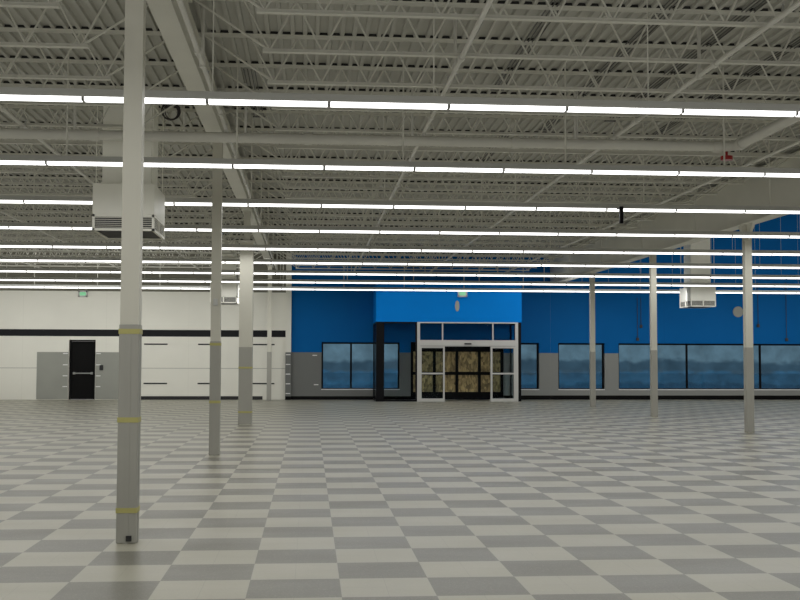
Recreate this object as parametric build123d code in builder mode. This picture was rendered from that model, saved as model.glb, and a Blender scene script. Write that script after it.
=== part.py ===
from build123d import *
import os

# Front bays of a clothing store's sales hall, seen from the sales floor: a steel frame of columns,
# girders and open web joists under a steel roof deck, closed at one end by the front wall with its
# windows, exit door and entrance vestibule. +Y is towards the front wall, +Z is up, and the origin is
# the middle of the floor slab's underside. Lengths are in millimetres.

os.makedirs("parts", exist_ok=True)

# Grid of the hall
bay_width = 10760.0
slab_edge = 200.0
slab_thickness = 150.0
hall_depth = 36260.0
wall_thickness = 300.0
low_line_offset = 7720.0
low_line_spacing = 8530.0
high_line_offset = 6450.0
high_line_spacing = 6600.0
wall_column_offset = 850.0

# Heights above the finished floor
low_deck_height = 5520.0
high_deck_height = 8200.0
low_parapet_height = 6350.0
high_parapet_height = 8900.0
light_height = 4020.0
branch_pipe_height = 4858.0
main_pipe_height = 4720.0

# Steel sections
column_side = 152.0
cover_side = 164.0
cover_height = 1800.0
boxing_side = 310.0
boxing_height = 4300.0
girder_depth = 460.0
girder_width = 240.0
deep_girder_depth = 1050.0
deep_girder_width = 300.0
flange_thickness = 22.0
girder_web = 14.0
haunch_size = 330.0
haunch_thickness = 60.0
joist_depth = 610.0
joist_seat = 64.0
seat_overhang = 30.0
joist_end_gap = 8.0
joist_chord = 42.0
joist_bar = 26.0
joist_thickness = 64.0
low_joists_per_bay = 6
high_joists_per_bay = 4
joist_end_setback = 620.0
joist_panels = 3
deck_thickness = 40.0
membrane_thickness = 100.0
step_wall_thickness = 140.0

# Front wall, its places measured to the right from the left column line
exit_offset = -6975.0
exit_opening_width = 980.0
exit_opening_height = 2230.0
blue_offset = 790.0
pilaster_width = 210.0
pilaster_depth = 180.0
left_window_start = 1940.0
left_window_end_gap = 420.0
left_window_shares = (0.378, 0.748)

# Front wall, its places measured to the right from the right column line
outer_entrance_offset = -3620.0
vestibule_offset = -4180.0
door_package_offset = -3495.0
narrow_window_offsets = (-1320.0, -450.0)
square_window_offsets = (300.0, 2120.0)
long_window_start = 2670.0
long_window_mullions = (5430.0, 8380.0)
long_window_end_gap = 460.0

# Window and outer entrance sizes
outer_entrance_width = 3600.0
outer_entrance_height = 2200.0
window_sill_height = 370.0
window_head_height = 2180.0
window_frame = 55.0
window_frame_depth = 110.0
window_setback = 60.0
glass_thickness = 24.0
sill_thickness = 30.0
outer_frame_bar = 110.0
outer_frame_depth = 120.0
outer_frame_setback = 20.0
outer_header = 370.0
outer_kick = 290.0
outer_mid = 120.0
outer_panels = 4
outer_mid_height = 1000.0
board_thickness = 18.0

# Entrance vestibule
vestibule_width = 5360.0
vestibule_depth = 1950.0
bulkhead_bottom = 2900.0
bulkhead_top = 4300.0
bulkhead_skin = 100.0
corner_post_left = 290.0
corner_post_right = 110.0
storefront_depth = 150.0
storefront_bar = 50.0
side_frame_thickness = 60.0
door_package_width = 3730.0
door_jamb = 105.0
door_header_bottom = 2010.0
door_header_top = 2240.0
transom_rail = 45.0
transom_mullion = 45.0
transom_mullion_offset = 930.0
lite_setback = 15.0
leaf_width = 910.0
leaf_stile = 62.0
leaf_thickness = 44.0
leaf_bottom_rail = 110.0
leaf_mid_rail = 60.0
leaf_mid_height = 1020.0
moving_clearance = 8.0
running_clearance = 0.3
hanger_rail_rise = 60.0
hanger_rail_height = 30.0
hanger_rail_depth = 24.0
hanger_width = 90.0
hanger_plate = 10.0
hanger_foot_height = 30.0
hanger_hook_height = 20.0
hanger_hook_gap = 4.0

# Exit door
exit_frame_face = 50.0
exit_frame_depth = 140.0
exit_leaf_thickness = 45.0
door_gap = 5.0
knuckle_radius = 9.0
knuckle_height = 36.0
knuckle_inset = 260.0
hinge_leaf = 5.0
push_bar_height = 980.0
push_bar_section = 42.0
push_bar_standoff = 60.0
push_bar_inset = 70.0
push_bar_foot_width = 80.0

# Ceiling services
light_spacing = 3700.0
light_from_wall = 2180.0
light_width = 108.0
light_housing_height = 60.0
light_lens_height = 56.0
light_lens_inset = 6.0
light_hanger_side = 14.0
light_hangers_per_bay = 2
branch_diameter = 54.0
branch_spacing = 2890.0
branch_from_left_line = 255.0
high_branch_from_line = 2400.0
branch_hanger_step = 8
main_diameter = 150.0
main_from_wall = 26550.0
main_end_from_left_line = 7830.0
main_risers = 6
main_hanger_offset = 600.0
pipe_end_gap = 20.0
branch_end_gap = 125.0
hanger_side = 16.0
drop_box_width = 900.0
drop_box_length = 1200.0
drop_box_height = 700.0
drop_duct_width = 720.0
drop_bottom = 3400.0
exit_sign_width = 330.0
exit_sign_height = 230.0
exit_sign_depth = 60.0
exit_sign_bottom = 3830.0
exit_sign_offset = 480.0
left_drop_offset = -1260.0
front_drop_offset = -1410.0
high_drop_offset = 4430.0

# Lines and faces that the dimensions above fix
left_line = -bay_width / 2
right_line = bay_width / 2
outer_left_line = left_line - bay_width
outer_right_line = right_line + bay_width
slab_width = 3 * bay_width + 2 * slab_edge
slab_depth = hall_depth + wall_thickness
near_end = -slab_depth / 2
wall_outer = slab_depth / 2
wall_inner = wall_outer - wall_thickness
hall_left = -slab_width / 2
hall_right = slab_width / 2
floor_top = slab_thickness
low_deck = floor_top + low_deck_height
high_deck = floor_top + high_deck_height
girder_top = low_deck - joist_seat
high_girder_top = high_deck - joist_seat
low_girder_bottom = girder_top - girder_depth
deep_girder_bottom = girder_top - deep_girder_depth
high_girder_bottom = high_girder_top - girder_depth


def rows_from_wall(offset, spacing, room):
    """Places from the front wall to the near end, as many as fit with some room left at that end."""
    count = int((hall_depth - offset - room) // spacing) + 1
    return [wall_inner - offset - row * spacing for row in range(count)]


def joist_rows(line_offset, spacing):
    """Places of a bay's joists, on a grid that goes through the column rows."""
    first = joist_thickness + (line_offset - joist_thickness) % spacing
    return rows_from_wall(first, spacing, joist_thickness)


low_rows = rows_from_wall(low_line_offset, low_line_spacing, column_side)
high_rows = rows_from_wall(high_line_offset, high_line_spacing, column_side)
inner_low_rows = low_rows[1:]
wall_column_y = wall_inner - wall_column_offset
low_joist_spacing = low_line_spacing / low_joists_per_bay
high_joist_spacing = high_line_spacing / high_joists_per_bay
low_joist_rows = joist_rows(low_line_offset, low_joist_spacing)
high_joist_rows = joist_rows(high_line_offset, high_joist_spacing)


def bar(width, depth, bottom, top, x, y):
    """Upright box between two heights, centred at x and y, for use inside a part block."""
    with Locations((x, y, bottom)):
        Box(width, depth, top - bottom, align=(Align.CENTER, Align.CENTER, Align.MIN))


def block(x0, x1, y0, y1, bottom, top):
    """Box between two x, two y and two heights, for use inside a part block."""
    bar(x1 - x0, y1 - y0, bottom, top, (x0 + x1) / 2, (y0 + y1) / 2)


def save(piece, name):
    """Labels a finished piece and writes it."""
    piece.part.label = name
    export_step(piece.part, f"parts/{name}.step")


# Floor slab
with BuildPart() as floor_slab:
    block(hall_left, hall_right, near_end, wall_outer, 0, floor_top)
save(floor_slab, "floor_slab")

# Front wall, white part, split beside and over the exit door
exit_x = left_line + exit_offset
exit_left = exit_x - exit_opening_width / 2
exit_right = exit_x + exit_opening_width / 2
exit_head = floor_top + exit_opening_height
blue_start = left_line + blue_offset
low_parapet = floor_top + low_parapet_height
high_parapet = floor_top + high_parapet_height
with BuildPart() as front_wall_white:
    block(hall_left, exit_left, wall_inner, wall_outer, floor_top, low_parapet)
    block(exit_right, blue_start, wall_inner, wall_outer, floor_top, low_parapet)
save(front_wall_white, "front_wall_white")

with BuildPart() as front_wall_over_exit:
    block(exit_left, exit_right, wall_inner, wall_outer, exit_head, low_parapet)
save(front_wall_over_exit, "front_wall_over_exit")

with BuildPart() as pilaster:
    block(blue_start - pilaster_width, blue_start, wall_inner - pilaster_depth, wall_inner,
          floor_top, low_deck)
save(pilaster, "pilaster")

# Front wall, blue part, with its windows cut through
entrance_x = right_line + outer_entrance_offset
entrance_left = entrance_x - outer_entrance_width / 2
entrance_right = entrance_x + outer_entrance_width / 2
entrance_head = floor_top + outer_entrance_height
sill = floor_top + window_sill_height
head = floor_top + window_head_height
left_window = (left_line + left_window_start, entrance_left - left_window_end_gap)
narrow_window = tuple(right_line + offset for offset in narrow_window_offsets)
square_window = tuple(right_line + offset for offset in square_window_offsets)
long_window = (right_line + long_window_start, outer_right_line - long_window_end_gap)


def window_hole(window):
    """Cuts a window through the front wall of the current part."""
    with Locations(((window[0] + window[1]) / 2, (wall_inner + wall_outer) / 2, (sill + head) / 2)):
        Box(window[1] - window[0], 2 * wall_thickness, head - sill, mode=Mode.SUBTRACT)


with BuildPart() as front_wall_blue_left:
    block(blue_start, entrance_left, wall_inner, wall_outer, floor_top, low_parapet)
    window_hole(left_window)
save(front_wall_blue_left, "front_wall_blue_left")

with BuildPart() as front_wall_over_entrance:
    block(entrance_left, entrance_right, wall_inner, wall_outer, entrance_head, low_parapet)
save(front_wall_over_entrance, "front_wall_over_entrance")

with BuildPart() as front_wall_blue_right:
    block(entrance_right, right_line, wall_inner, wall_outer, floor_top, low_parapet)
    window_hole(narrow_window)
save(front_wall_blue_right, "front_wall_blue_right")

with BuildPart() as front_wall_high_bay:
    block(right_line, hall_right, wall_inner, wall_outer, floor_top, high_parapet)
    window_hole(square_window)
    window_hole(long_window)
save(front_wall_high_bay, "front_wall_high_bay")

# Window frames, glass and sills
frame_y = wall_outer - window_setback - window_frame_depth / 2
left_window_width = left_window[1] - left_window[0]
windows = [
    (left_window, [left_window[0] + share * left_window_width for share in left_window_shares]),
    (narrow_window, []),
    (square_window, []),
    (long_window, [right_line + offset for offset in long_window_mullions]),
]


def pane_edges(window, mullions):
    """Left and right edges of a window's panes, as pairs."""
    centres = [window[0] + window_frame / 2, *mullions, window[1] - window_frame / 2]
    return [(a + window_frame / 2, b - window_frame / 2) for a, b in zip(centres, centres[1:])]


with BuildPart() as window_frames:
    for window, mullions in windows:
        block(window[0], window[1], frame_y - window_frame_depth / 2,
              frame_y + window_frame_depth / 2, sill, head)
        for left, right in pane_edges(window, mullions):
            with Locations(((left + right) / 2, frame_y, (sill + head) / 2)):
                Box(right - left, 2 * window_frame_depth, head - sill - 2 * window_frame,
                    mode=Mode.SUBTRACT)
save(window_frames, "window_frames")

with BuildPart() as window_glass:
    for window, mullions in windows:
        for left, right in pane_edges(window, mullions):
            block(left, right, frame_y - glass_thickness / 2, frame_y + glass_thickness / 2,
                  sill + window_frame, head - window_frame)
save(window_glass, "window_glass")

with BuildPart() as window_sills:
    for window, mullions in windows:
        block(window[0], window[1], wall_inner, frame_y - window_frame_depth / 2,
              sill, sill + sill_thickness)
save(window_sills, "window_sills")

# Exit door: frame, leaf hinged on its left to swing outwards, and push bar
leaf_outer = wall_outer - 2 * knuckle_radius - running_clearance
leaf_inner = leaf_outer - exit_leaf_thickness
exit_leaf_left = exit_left + exit_frame_face + door_gap
exit_leaf_right = exit_right - exit_frame_face - door_gap
exit_leaf_top = exit_head - exit_frame_face - door_gap
exit_leaf_bottom = floor_top + moving_clearance
hinge_x = exit_leaf_left - door_gap / 2
hinge_y = leaf_outer + knuckle_radius
hinge_heights = [exit_leaf_bottom + knuckle_inset, (exit_leaf_bottom + exit_leaf_top) / 2,
                 exit_leaf_top - knuckle_inset]

with BuildPart() as exit_door_frame:
    block(exit_left, exit_right, wall_outer - exit_frame_depth, leaf_outer, floor_top, exit_head)
    with Locations((exit_x, wall_outer, floor_top)):
        Box(exit_opening_width - 2 * exit_frame_face, 4 * exit_frame_depth,
            2 * (exit_opening_height - exit_frame_face), mode=Mode.SUBTRACT)
    for height in hinge_heights:
        with Locations((hinge_x, hinge_y, height - knuckle_height - running_clearance)):
            Cylinder(knuckle_radius, knuckle_height)
        with Locations((hinge_x - knuckle_radius - door_gap / 2, leaf_outer,
                        height - knuckle_height - running_clearance)):
            Box(2 * knuckle_radius, hinge_leaf, knuckle_height)
save(exit_door_frame, "exit_door_frame")

with BuildPart() as exit_door:
    block(exit_leaf_left, exit_leaf_right, leaf_inner, leaf_outer, exit_leaf_bottom, exit_leaf_top)
    for height in hinge_heights:
        with Locations((hinge_x, hinge_y, height)):
            Cylinder(knuckle_radius, knuckle_height)
        with Locations((hinge_x + knuckle_radius + door_gap / 2, leaf_outer, height)):
            Box(2 * knuckle_radius, hinge_leaf, knuckle_height)
save(exit_door, "exit_door")

bar_z = floor_top + push_bar_height
with BuildPart() as exit_push_bar:
    block(exit_leaf_left + push_bar_inset, exit_leaf_right - push_bar_inset, leaf_inner - push_bar_standoff,
          leaf_inner - push_bar_standoff + push_bar_section / 2,
          bar_z - push_bar_section / 2, bar_z + push_bar_section / 2)
    for left in (exit_leaf_left + push_bar_inset, exit_leaf_right - push_bar_inset - push_bar_foot_width):
        block(left, left + push_bar_foot_width, leaf_inner - push_bar_standoff, leaf_inner,
              bar_z - push_bar_section, bar_z + push_bar_section)
save(exit_push_bar, "exit_push_bar")

# Entrance vestibule: blue bulkhead over black storefront frames
vestibule_x = right_line + vestibule_offset
vestibule_left = vestibule_x - vestibule_width / 2
vestibule_right = vestibule_x + vestibule_width / 2
vestibule_front = wall_inner - vestibule_depth
storefront_back = vestibule_front + storefront_depth
soffit = floor_top + bulkhead_bottom
door_x = right_line + door_package_offset
package_left = door_x - door_package_width / 2
package_right = door_x + door_package_width / 2
storefront_y = vestibule_front + storefront_depth / 2

with BuildPart() as vestibule_bulkhead:
    block(vestibule_left, vestibule_right, vestibule_front, wall_inner, soffit, floor_top + bulkhead_top)
    with Locations((vestibule_x, wall_inner, soffit + bulkhead_skin)):
        Box(vestibule_width - 2 * bulkhead_skin, 2 * (vestibule_depth - bulkhead_skin),
            bulkhead_top - bulkhead_bottom, align=(Align.CENTER, Align.CENTER, Align.MIN),
            mode=Mode.SUBTRACT)
save(vestibule_bulkhead, "vestibule_bulkhead")

corner_left = vestibule_left + corner_post_left
with BuildPart() as vestibule_front_frame:
    block(vestibule_left, package_left, vestibule_front, storefront_back, floor_top, soffit)
    with Locations(((corner_left + package_left - storefront_bar) / 2, storefront_y,
                    floor_top + storefront_bar)):
        Box(package_left - storefront_bar - corner_left, 2 * storefront_depth,
            bulkhead_bottom - 2 * storefront_bar,
            align=(Align.CENTER, Align.CENTER, Align.MIN), mode=Mode.SUBTRACT)
    block(package_right, package_right + corner_post_right, vestibule_front, storefront_back,
          floor_top, soffit)
save(vestibule_front_frame, "vestibule_front_frame")

side_frame_length = wall_inner - storefront_back
side_frame_y = (wall_inner + storefront_back) / 2
side_xs = (vestibule_left + side_frame_thickness / 2,
           package_right + corner_post_right - side_frame_thickness / 2)
side_pane = (side_frame_length - 3 * storefront_bar) / 2
with BuildPart() as vestibule_side_frames:
    for x in side_xs:
        bar(side_frame_thickness, side_frame_length, floor_top, soffit, x, side_frame_y)
        for side in (-1, 1):
            pane_y = side_frame_y + side * (side_pane + storefront_bar) / 2
            with Locations((x, pane_y, floor_top + storefront_bar)):
                Box(2 * side_frame_thickness, side_pane, bulkhead_bottom - 2 * storefront_bar,
                    align=(Align.CENTER, Align.CENTER, Align.MIN), mode=Mode.SUBTRACT)
save(vestibule_side_frames, "vestibule_side_frames")

with BuildPart() as vestibule_glass:
    block(corner_left, package_left - storefront_bar, storefront_y - glass_thickness / 2,
          storefront_y + glass_thickness / 2, floor_top + storefront_bar, soffit - storefront_bar)
    for x in side_xs:
        for side in (-1, 1):
            bar(glass_thickness, side_pane, floor_top + storefront_bar, soffit - storefront_bar,
                x, side_frame_y + side * (side_pane + storefront_bar) / 2)
save(vestibule_glass, "vestibule_glass")

# Inner entrance: white frame with transom and fixed side lites, and two leaves that slide behind them
lite_front = vestibule_front + lite_setback
leaf_front = lite_front + leaf_thickness + moving_clearance
lite_plane = (lite_front, lite_front + leaf_thickness)
leaf_plane = (leaf_front, leaf_front + leaf_thickness)
header_bottom = floor_top + door_header_bottom
header_top = floor_top + door_header_top
inner_left = package_left + door_jamb
inner_right = package_right - door_jamb
leaf_top = header_bottom - moving_clearance
leaf_bottom = floor_top + moving_clearance
rail_bottom = header_bottom + hanger_rail_rise


def leaf_frame(left, right, y0, y1, bottom, top):
    """Glazed panel's frame with two stiles, a deep bottom rail, a middle rail and a top rail."""
    block(left, right, y0, y1, bottom, top)
    middle = floor_top + leaf_mid_height
    for low, high in ((bottom + leaf_bottom_rail, middle - leaf_mid_rail / 2),
                      (middle + leaf_mid_rail / 2, top - leaf_stile)):
        with Locations(((left + right) / 2, (y0 + y1) / 2, (low + high) / 2)):
            Box(right - left - 2 * leaf_stile, 2 * (y1 - y0), high - low, mode=Mode.SUBTRACT)


def leaf_glass(left, right, y0, y1, bottom, top):
    """The two panes of a glazed panel."""
    middle = floor_top + leaf_mid_height
    centre = (y0 + y1) / 2
    for low, high in ((bottom + leaf_bottom_rail, middle - leaf_mid_rail / 2),
                      (middle + leaf_mid_rail / 2, top - leaf_stile)):
        block(left + leaf_stile, right - leaf_stile, centre - glass_thickness / 4,
              centre + glass_thickness / 4, low, high)


with BuildPart() as entrance_frame:
    block(package_left, inner_left, vestibule_front, storefront_back, floor_top, soffit)
    block(inner_right, package_right, vestibule_front, storefront_back, floor_top, soffit)
    block(inner_left, inner_right, vestibule_front, storefront_back, header_bottom, header_top)
    block(inner_left, inner_right, vestibule_front, storefront_back, soffit - transom_rail, soffit)
    for side in (-1, 1):
        x = door_x + side * transom_mullion_offset
        block(x - transom_mullion / 2, x + transom_mullion / 2, vestibule_front, storefront_back,
              header_top, soffit - transom_rail)
    block(inner_left, inner_right, storefront_back, storefront_back + hanger_rail_depth,
          rail_bottom, rail_bottom + hanger_rail_height)
save(entrance_frame, "entrance_frame")

transom_edges = [inner_left, door_x - transom_mullion_offset - transom_mullion / 2,
                 door_x - transom_mullion_offset + transom_mullion / 2,
                 door_x + transom_mullion_offset - transom_mullion / 2,
                 door_x + transom_mullion_offset + transom_mullion / 2, inner_right]
with BuildPart() as transom_glass:
    for left, right in zip(transom_edges[::2], transom_edges[1::2]):
        block(left, right, storefront_y - glass_thickness / 2, storefront_y + glass_thickness / 2,
              header_top, soffit - transom_rail)
save(transom_glass, "transom_glass")

with BuildPart() as side_lites:
    leaf_frame(inner_left, inner_left + leaf_width, *lite_plane, floor_top, header_bottom)
    leaf_frame(inner_right - leaf_width, inner_right, *lite_plane, floor_top, header_bottom)
save(side_lites, "side_lites")

with BuildPart() as side_lite_glass:
    leaf_glass(inner_left, inner_left + leaf_width, *lite_plane, floor_top, header_bottom)
    leaf_glass(inner_right - leaf_width, inner_right, *lite_plane, floor_top, header_bottom)
save(side_lite_glass, "side_lite_glass")


def hanger(x):
    """Bracket that hooks a sliding leaf over the header's rail, for use inside a leaf's part block."""
    left = x - hanger_width / 2
    right = x + hanger_width / 2
    plate_back = storefront_back + hanger_rail_depth + moving_clearance
    plate_front = plate_back + hanger_plate
    foot_top = leaf_top - hanger_plate
    foot_bottom = foot_top - hanger_foot_height
    hook_bottom = rail_bottom + hanger_rail_height + running_clearance
    hook_top = hook_bottom + hanger_hook_height
    block(left, right, leaf_plane[1] - hanger_plate, plate_front, foot_bottom, foot_top)
    block(left, right, plate_back, plate_front, foot_bottom, hook_top)
    block(left, right, storefront_back + hanger_hook_gap, plate_front, hook_bottom, hook_top)


left_leaf = (inner_left + door_gap, inner_left + door_gap + leaf_width)
right_leaf = (inner_right - door_gap - leaf_width, inner_right - door_gap)
with BuildPart() as sliding_leaf_left:
    leaf_frame(*left_leaf, *leaf_plane, leaf_bottom, leaf_top)
    hanger(left_leaf[0] + leaf_width / 5)
    hanger(left_leaf[1] - leaf_width / 5)
save(sliding_leaf_left, "sliding_leaf_left")

with BuildPart() as sliding_leaf_left_glass:
    leaf_glass(*left_leaf, *leaf_plane, leaf_bottom, leaf_top)
save(sliding_leaf_left_glass, "sliding_leaf_left_glass")

with BuildPart() as sliding_leaf_right:
    leaf_frame(*right_leaf, *leaf_plane, leaf_bottom, leaf_top)
    hanger(right_leaf[0] + leaf_width / 5)
    hanger(right_leaf[1] - leaf_width / 5)
save(sliding_leaf_right, "sliding_leaf_right")

with BuildPart() as sliding_leaf_right_glass:
    leaf_glass(*right_leaf, *leaf_plane, leaf_bottom, leaf_top)
save(sliding_leaf_right_glass, "sliding_leaf_right_glass")

# Outer entrance: black frame of four panels, boarded over
outer_y = wall_outer - outer_frame_setback - outer_frame_depth / 2
outer_pane = (outer_entrance_width - (outer_panels + 1) * outer_frame_bar) / outer_panels


def outer_panes():
    """Left edge, bottom and top of each opening in the outer entrance's frame."""
    for column in range(outer_panels):
        left = entrance_left + outer_frame_bar + column * (outer_pane + outer_frame_bar)
        yield left, floor_top + outer_kick, floor_top + outer_mid_height - outer_mid / 2
        yield left, floor_top + outer_mid_height + outer_mid / 2, entrance_head - outer_header


with BuildPart() as outer_entrance_frame:
    block(entrance_left, entrance_right, outer_y - outer_frame_depth / 2, outer_y + outer_frame_depth / 2,
          floor_top, entrance_head)
    for left, low, high in outer_panes():
        with Locations((left + outer_pane / 2, outer_y, (low + high) / 2)):
            Box(outer_pane, 2 * outer_frame_depth, high - low, mode=Mode.SUBTRACT)
save(outer_entrance_frame, "outer_entrance_frame")

with BuildPart() as entrance_boards:
    for left, low, high in outer_panes():
        block(left, left + outer_pane, outer_y - board_thickness / 2, outer_y + board_thickness / 2,
              low, high)
save(entrance_boards, "entrance_boards")

# Columns, with knee haunches under the deep girder at one of them
column_lines = [
    (left_line, inner_low_rows + [wall_column_y], low_girder_bottom),
    (right_line, high_rows, deep_girder_bottom),
    (outer_left_line, low_rows, low_girder_bottom),
    (outer_right_line, high_rows, high_girder_bottom),
]
with BuildPart() as columns:
    for x, rows, top in column_lines:
        for y in rows:
            bar(column_side, column_side, floor_top, top, x, y)
save(columns, "columns")

haunched_row = high_rows[2]
with BuildPart() as girder_haunches:
    with BuildSketch(Plane.YZ.offset(right_line)):
        for side in (-1, 1):
            face = haunched_row + side * column_side / 2
            with BuildLine():
                Polyline((face, deep_girder_bottom), (face + side * haunch_size, deep_girder_bottom),
                         (face, deep_girder_bottom - haunch_size), close=True)
            make_face()
    extrude(amount=haunch_thickness / 2, both=True)
save(girder_haunches, "girder_haunches")

# Grey covers around the columns' feet, and boxing around one column
boxed_row = inner_low_rows[0]
cover_feet = [(left_line, y) for y in inner_low_rows[1:] + [wall_column_y]]
cover_feet += [(right_line, y) for y in high_rows]
cover_feet += [(outer_left_line, y) for y in low_rows]
cover_feet += [(outer_right_line, y) for y in high_rows]


def sleeve(outer, inner, bottom, top, x, y):
    """Square tube around a column, for use inside a part block."""
    bar(outer, outer, bottom, top, x, y)
    with Locations((x, y, (bottom + top) / 2)):
        Box(inner, inner, top - bottom, mode=Mode.SUBTRACT)


with BuildPart() as column_covers:
    for x, y in cover_feet:
        sleeve(cover_side, column_side, floor_top, floor_top + cover_height, x, y)
save(column_covers, "column_covers")

with BuildPart() as column_boxing:
    sleeve(boxing_side, column_side, floor_top, floor_top + boxing_height, left_line, boxed_row)
save(column_boxing, "column_boxing")


# Girders along the column lines, and the step wall between the low and the high roof
def i_profile(x, top, depth, width):
    """Outline of an I section at the near end of the hall."""
    with BuildSketch(Plane.XZ.offset(-near_end)) as outline:
        with Locations((x, top - flange_thickness / 2), (x, top - depth + flange_thickness / 2)):
            Rectangle(width, flange_thickness)
        with Locations((x, top - depth / 2)):
            Rectangle(girder_web, depth)
    return outline.sketch


low_girder_left = i_profile(left_line, girder_top, girder_depth, girder_width)
low_girder_outer = i_profile(outer_left_line, girder_top, girder_depth, girder_width)
deep_girder = i_profile(right_line, girder_top, deep_girder_depth, deep_girder_width)
high_girder_outer = i_profile(outer_right_line, high_girder_top, girder_depth, girder_width)

with BuildPart() as girders:
    for outline in (low_girder_left, low_girder_outer, deep_girder, high_girder_outer):
        extrude(outline, amount=-hall_depth)
save(girders, "girders")

with BuildPart() as step_wall:
    block(right_line, right_line + step_wall_thickness, near_end, wall_inner, girder_top, high_girder_top)
save(step_wall, "step_wall")


# Open web joists across each bay
def joist(left, right, top, left_seat, right_seat):
    """Joist at y = 0: a plate of its outline with the gaps between chords and bars of the web cut out."""
    web_left = left + left_seat
    web_right = right - right_seat
    bottom_left = left + joist_end_setback
    bottom_right = right - joist_end_setback
    panel = (bottom_right - bottom_left) / joist_panels
    chord_line = top - joist_seat
    bottom = top - joist_depth
    inner_nodes = [bottom_left + step * panel / 2 for step in range(2 * joist_panels + 1)]
    nodes = [web_left, *inner_nodes, web_right]
    with BuildPart() as piece:
        with BuildSketch(Plane.XZ):
            with BuildLine():
                Polyline((left, top), (left, chord_line), (web_left, chord_line), (bottom_left, bottom),
                         (bottom_right, bottom), (web_right, chord_line), (right, chord_line), (right, top),
                         close=True)
            make_face()
            for step in range(len(nodes) - 2):
                start, tip, end = nodes[step:step + 3]
                base, apex = chord_line, bottom + joist_chord
                if step % 2:
                    base, apex = apex, base
                with BuildLine():
                    Polyline((start + joist_bar, base), (tip, apex), (end - joist_bar, base), close=True)
                make_face(mode=Mode.SUBTRACT)
        extrude(amount=joist_thickness / 2, both=True)
    return piece.part


inner_seat = girder_width / 2 + seat_overhang
deep_seat = deep_girder_width / 2 + seat_overhang
outer_seat = girder_width + seat_overhang
wall_seat = step_wall_thickness + seat_overhang
outer_left_end = outer_left_line - girder_width / 2
outer_right_end = outer_right_line + girder_width / 2
left_joist = joist(outer_left_end, left_line - joist_end_gap, low_deck, outer_seat, inner_seat)
middle_joist = joist(left_line + joist_end_gap, right_line - joist_end_gap, low_deck, inner_seat, deep_seat)
high_joist = joist(right_line, outer_right_end, high_deck, wall_seat, outer_seat)

with BuildPart() as joists_left_bay:
    with Locations(*[(0, y, 0) for y in low_joist_rows]):
        add(left_joist)
save(joists_left_bay, "joists_left_bay")

with BuildPart() as joists_middle_bay:
    with Locations(*[(0, y, 0) for y in low_joist_rows]):
        add(middle_joist)
save(joists_middle_bay, "joists_middle_bay")

with BuildPart() as joists_high_bay:
    with Locations(*[(0, y, 0) for y in high_joist_rows]):
        add(high_joist)
save(joists_high_bay, "joists_high_bay")

# Roof decks and the membrane over them
with BuildPart() as roof_deck:
    block(hall_left, right_line, near_end, wall_inner, low_deck, low_deck + deck_thickness)
    block(right_line, hall_right, near_end, wall_inner, high_deck, high_deck + deck_thickness)
save(roof_deck, "roof_deck")

with BuildPart() as roof_membrane:
    block(hall_left, right_line, near_end, wall_inner, low_deck + deck_thickness,
          low_deck + deck_thickness + membrane_thickness)
    block(right_line, hall_right, near_end, wall_inner, high_deck + deck_thickness,
          high_deck + deck_thickness + membrane_thickness)
save(roof_membrane, "roof_membrane")

# Rows of strip lights on rods, from the left edge of the hall to the right
light_rows = rows_from_wall(light_from_wall, light_spacing, light_width)
light_bottom = floor_top + light_height
lens_top = light_bottom + light_lens_height
light_top = lens_top + light_housing_height
lens_half = light_width / 2 - light_lens_inset
rod_pitch = bay_width / light_hangers_per_bay
rod_offsets = [(step + 0.5) * rod_pitch for step in range(light_hangers_per_bay)]

with BuildPart() as strip_light_rows:
    for y in light_rows:
        block(hall_left, hall_right, y - light_width / 2, y + light_width / 2, lens_top, light_top)
        block(hall_left, hall_right, y - lens_half, y + lens_half, light_bottom, lens_top)
save(strip_light_rows, "strip_light_rows")

with BuildPart() as light_hangers:
    for y in light_rows:
        for line, deck in ((outer_left_line, low_deck), (left_line, low_deck), (right_line, high_deck)):
            for offset in rod_offsets:
                bar(light_hanger_side, light_hanger_side, light_top, deck, line + offset, y)
save(light_hangers, "light_hangers")

# Sprinkler pipes: branches along the hall, and the cross main that feeds them
branch_radius = branch_diameter / 2
main_radius = main_diameter / 2
low_branches = [left_line + branch_from_left_line + step * branch_spacing for step in range(-3, 4)]
high_branches = [right_line + high_branch_from_line + step * branch_spacing for step in range(3)]
branch_z = floor_top + branch_pipe_height
high_branch_z = branch_z + high_deck_height - low_deck_height
branch_length = hall_depth - 2 * branch_end_gap
low_hanger_rows = [y + low_joist_spacing / 2 for y in low_joist_rows[1::branch_hanger_step]]
high_hanger_rows = [y + high_joist_spacing / 2 for y in high_joist_rows[1::branch_hanger_step]]

with BuildPart() as sprinkler_branches:
    for xs, z, deck, rows in ((low_branches, branch_z, low_deck, low_hanger_rows),
                              (high_branches, high_branch_z, high_deck, high_hanger_rows)):
        for x in xs:
            with Locations((x, (near_end + wall_inner) / 2, z)):
                Cylinder(branch_radius, branch_length, rotation=(90, 0, 0))
            for y in rows:
                bar(hanger_side, hanger_side, z + branch_radius + running_clearance, deck, x, y)
save(sprinkler_branches, "sprinkler_branches")

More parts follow.
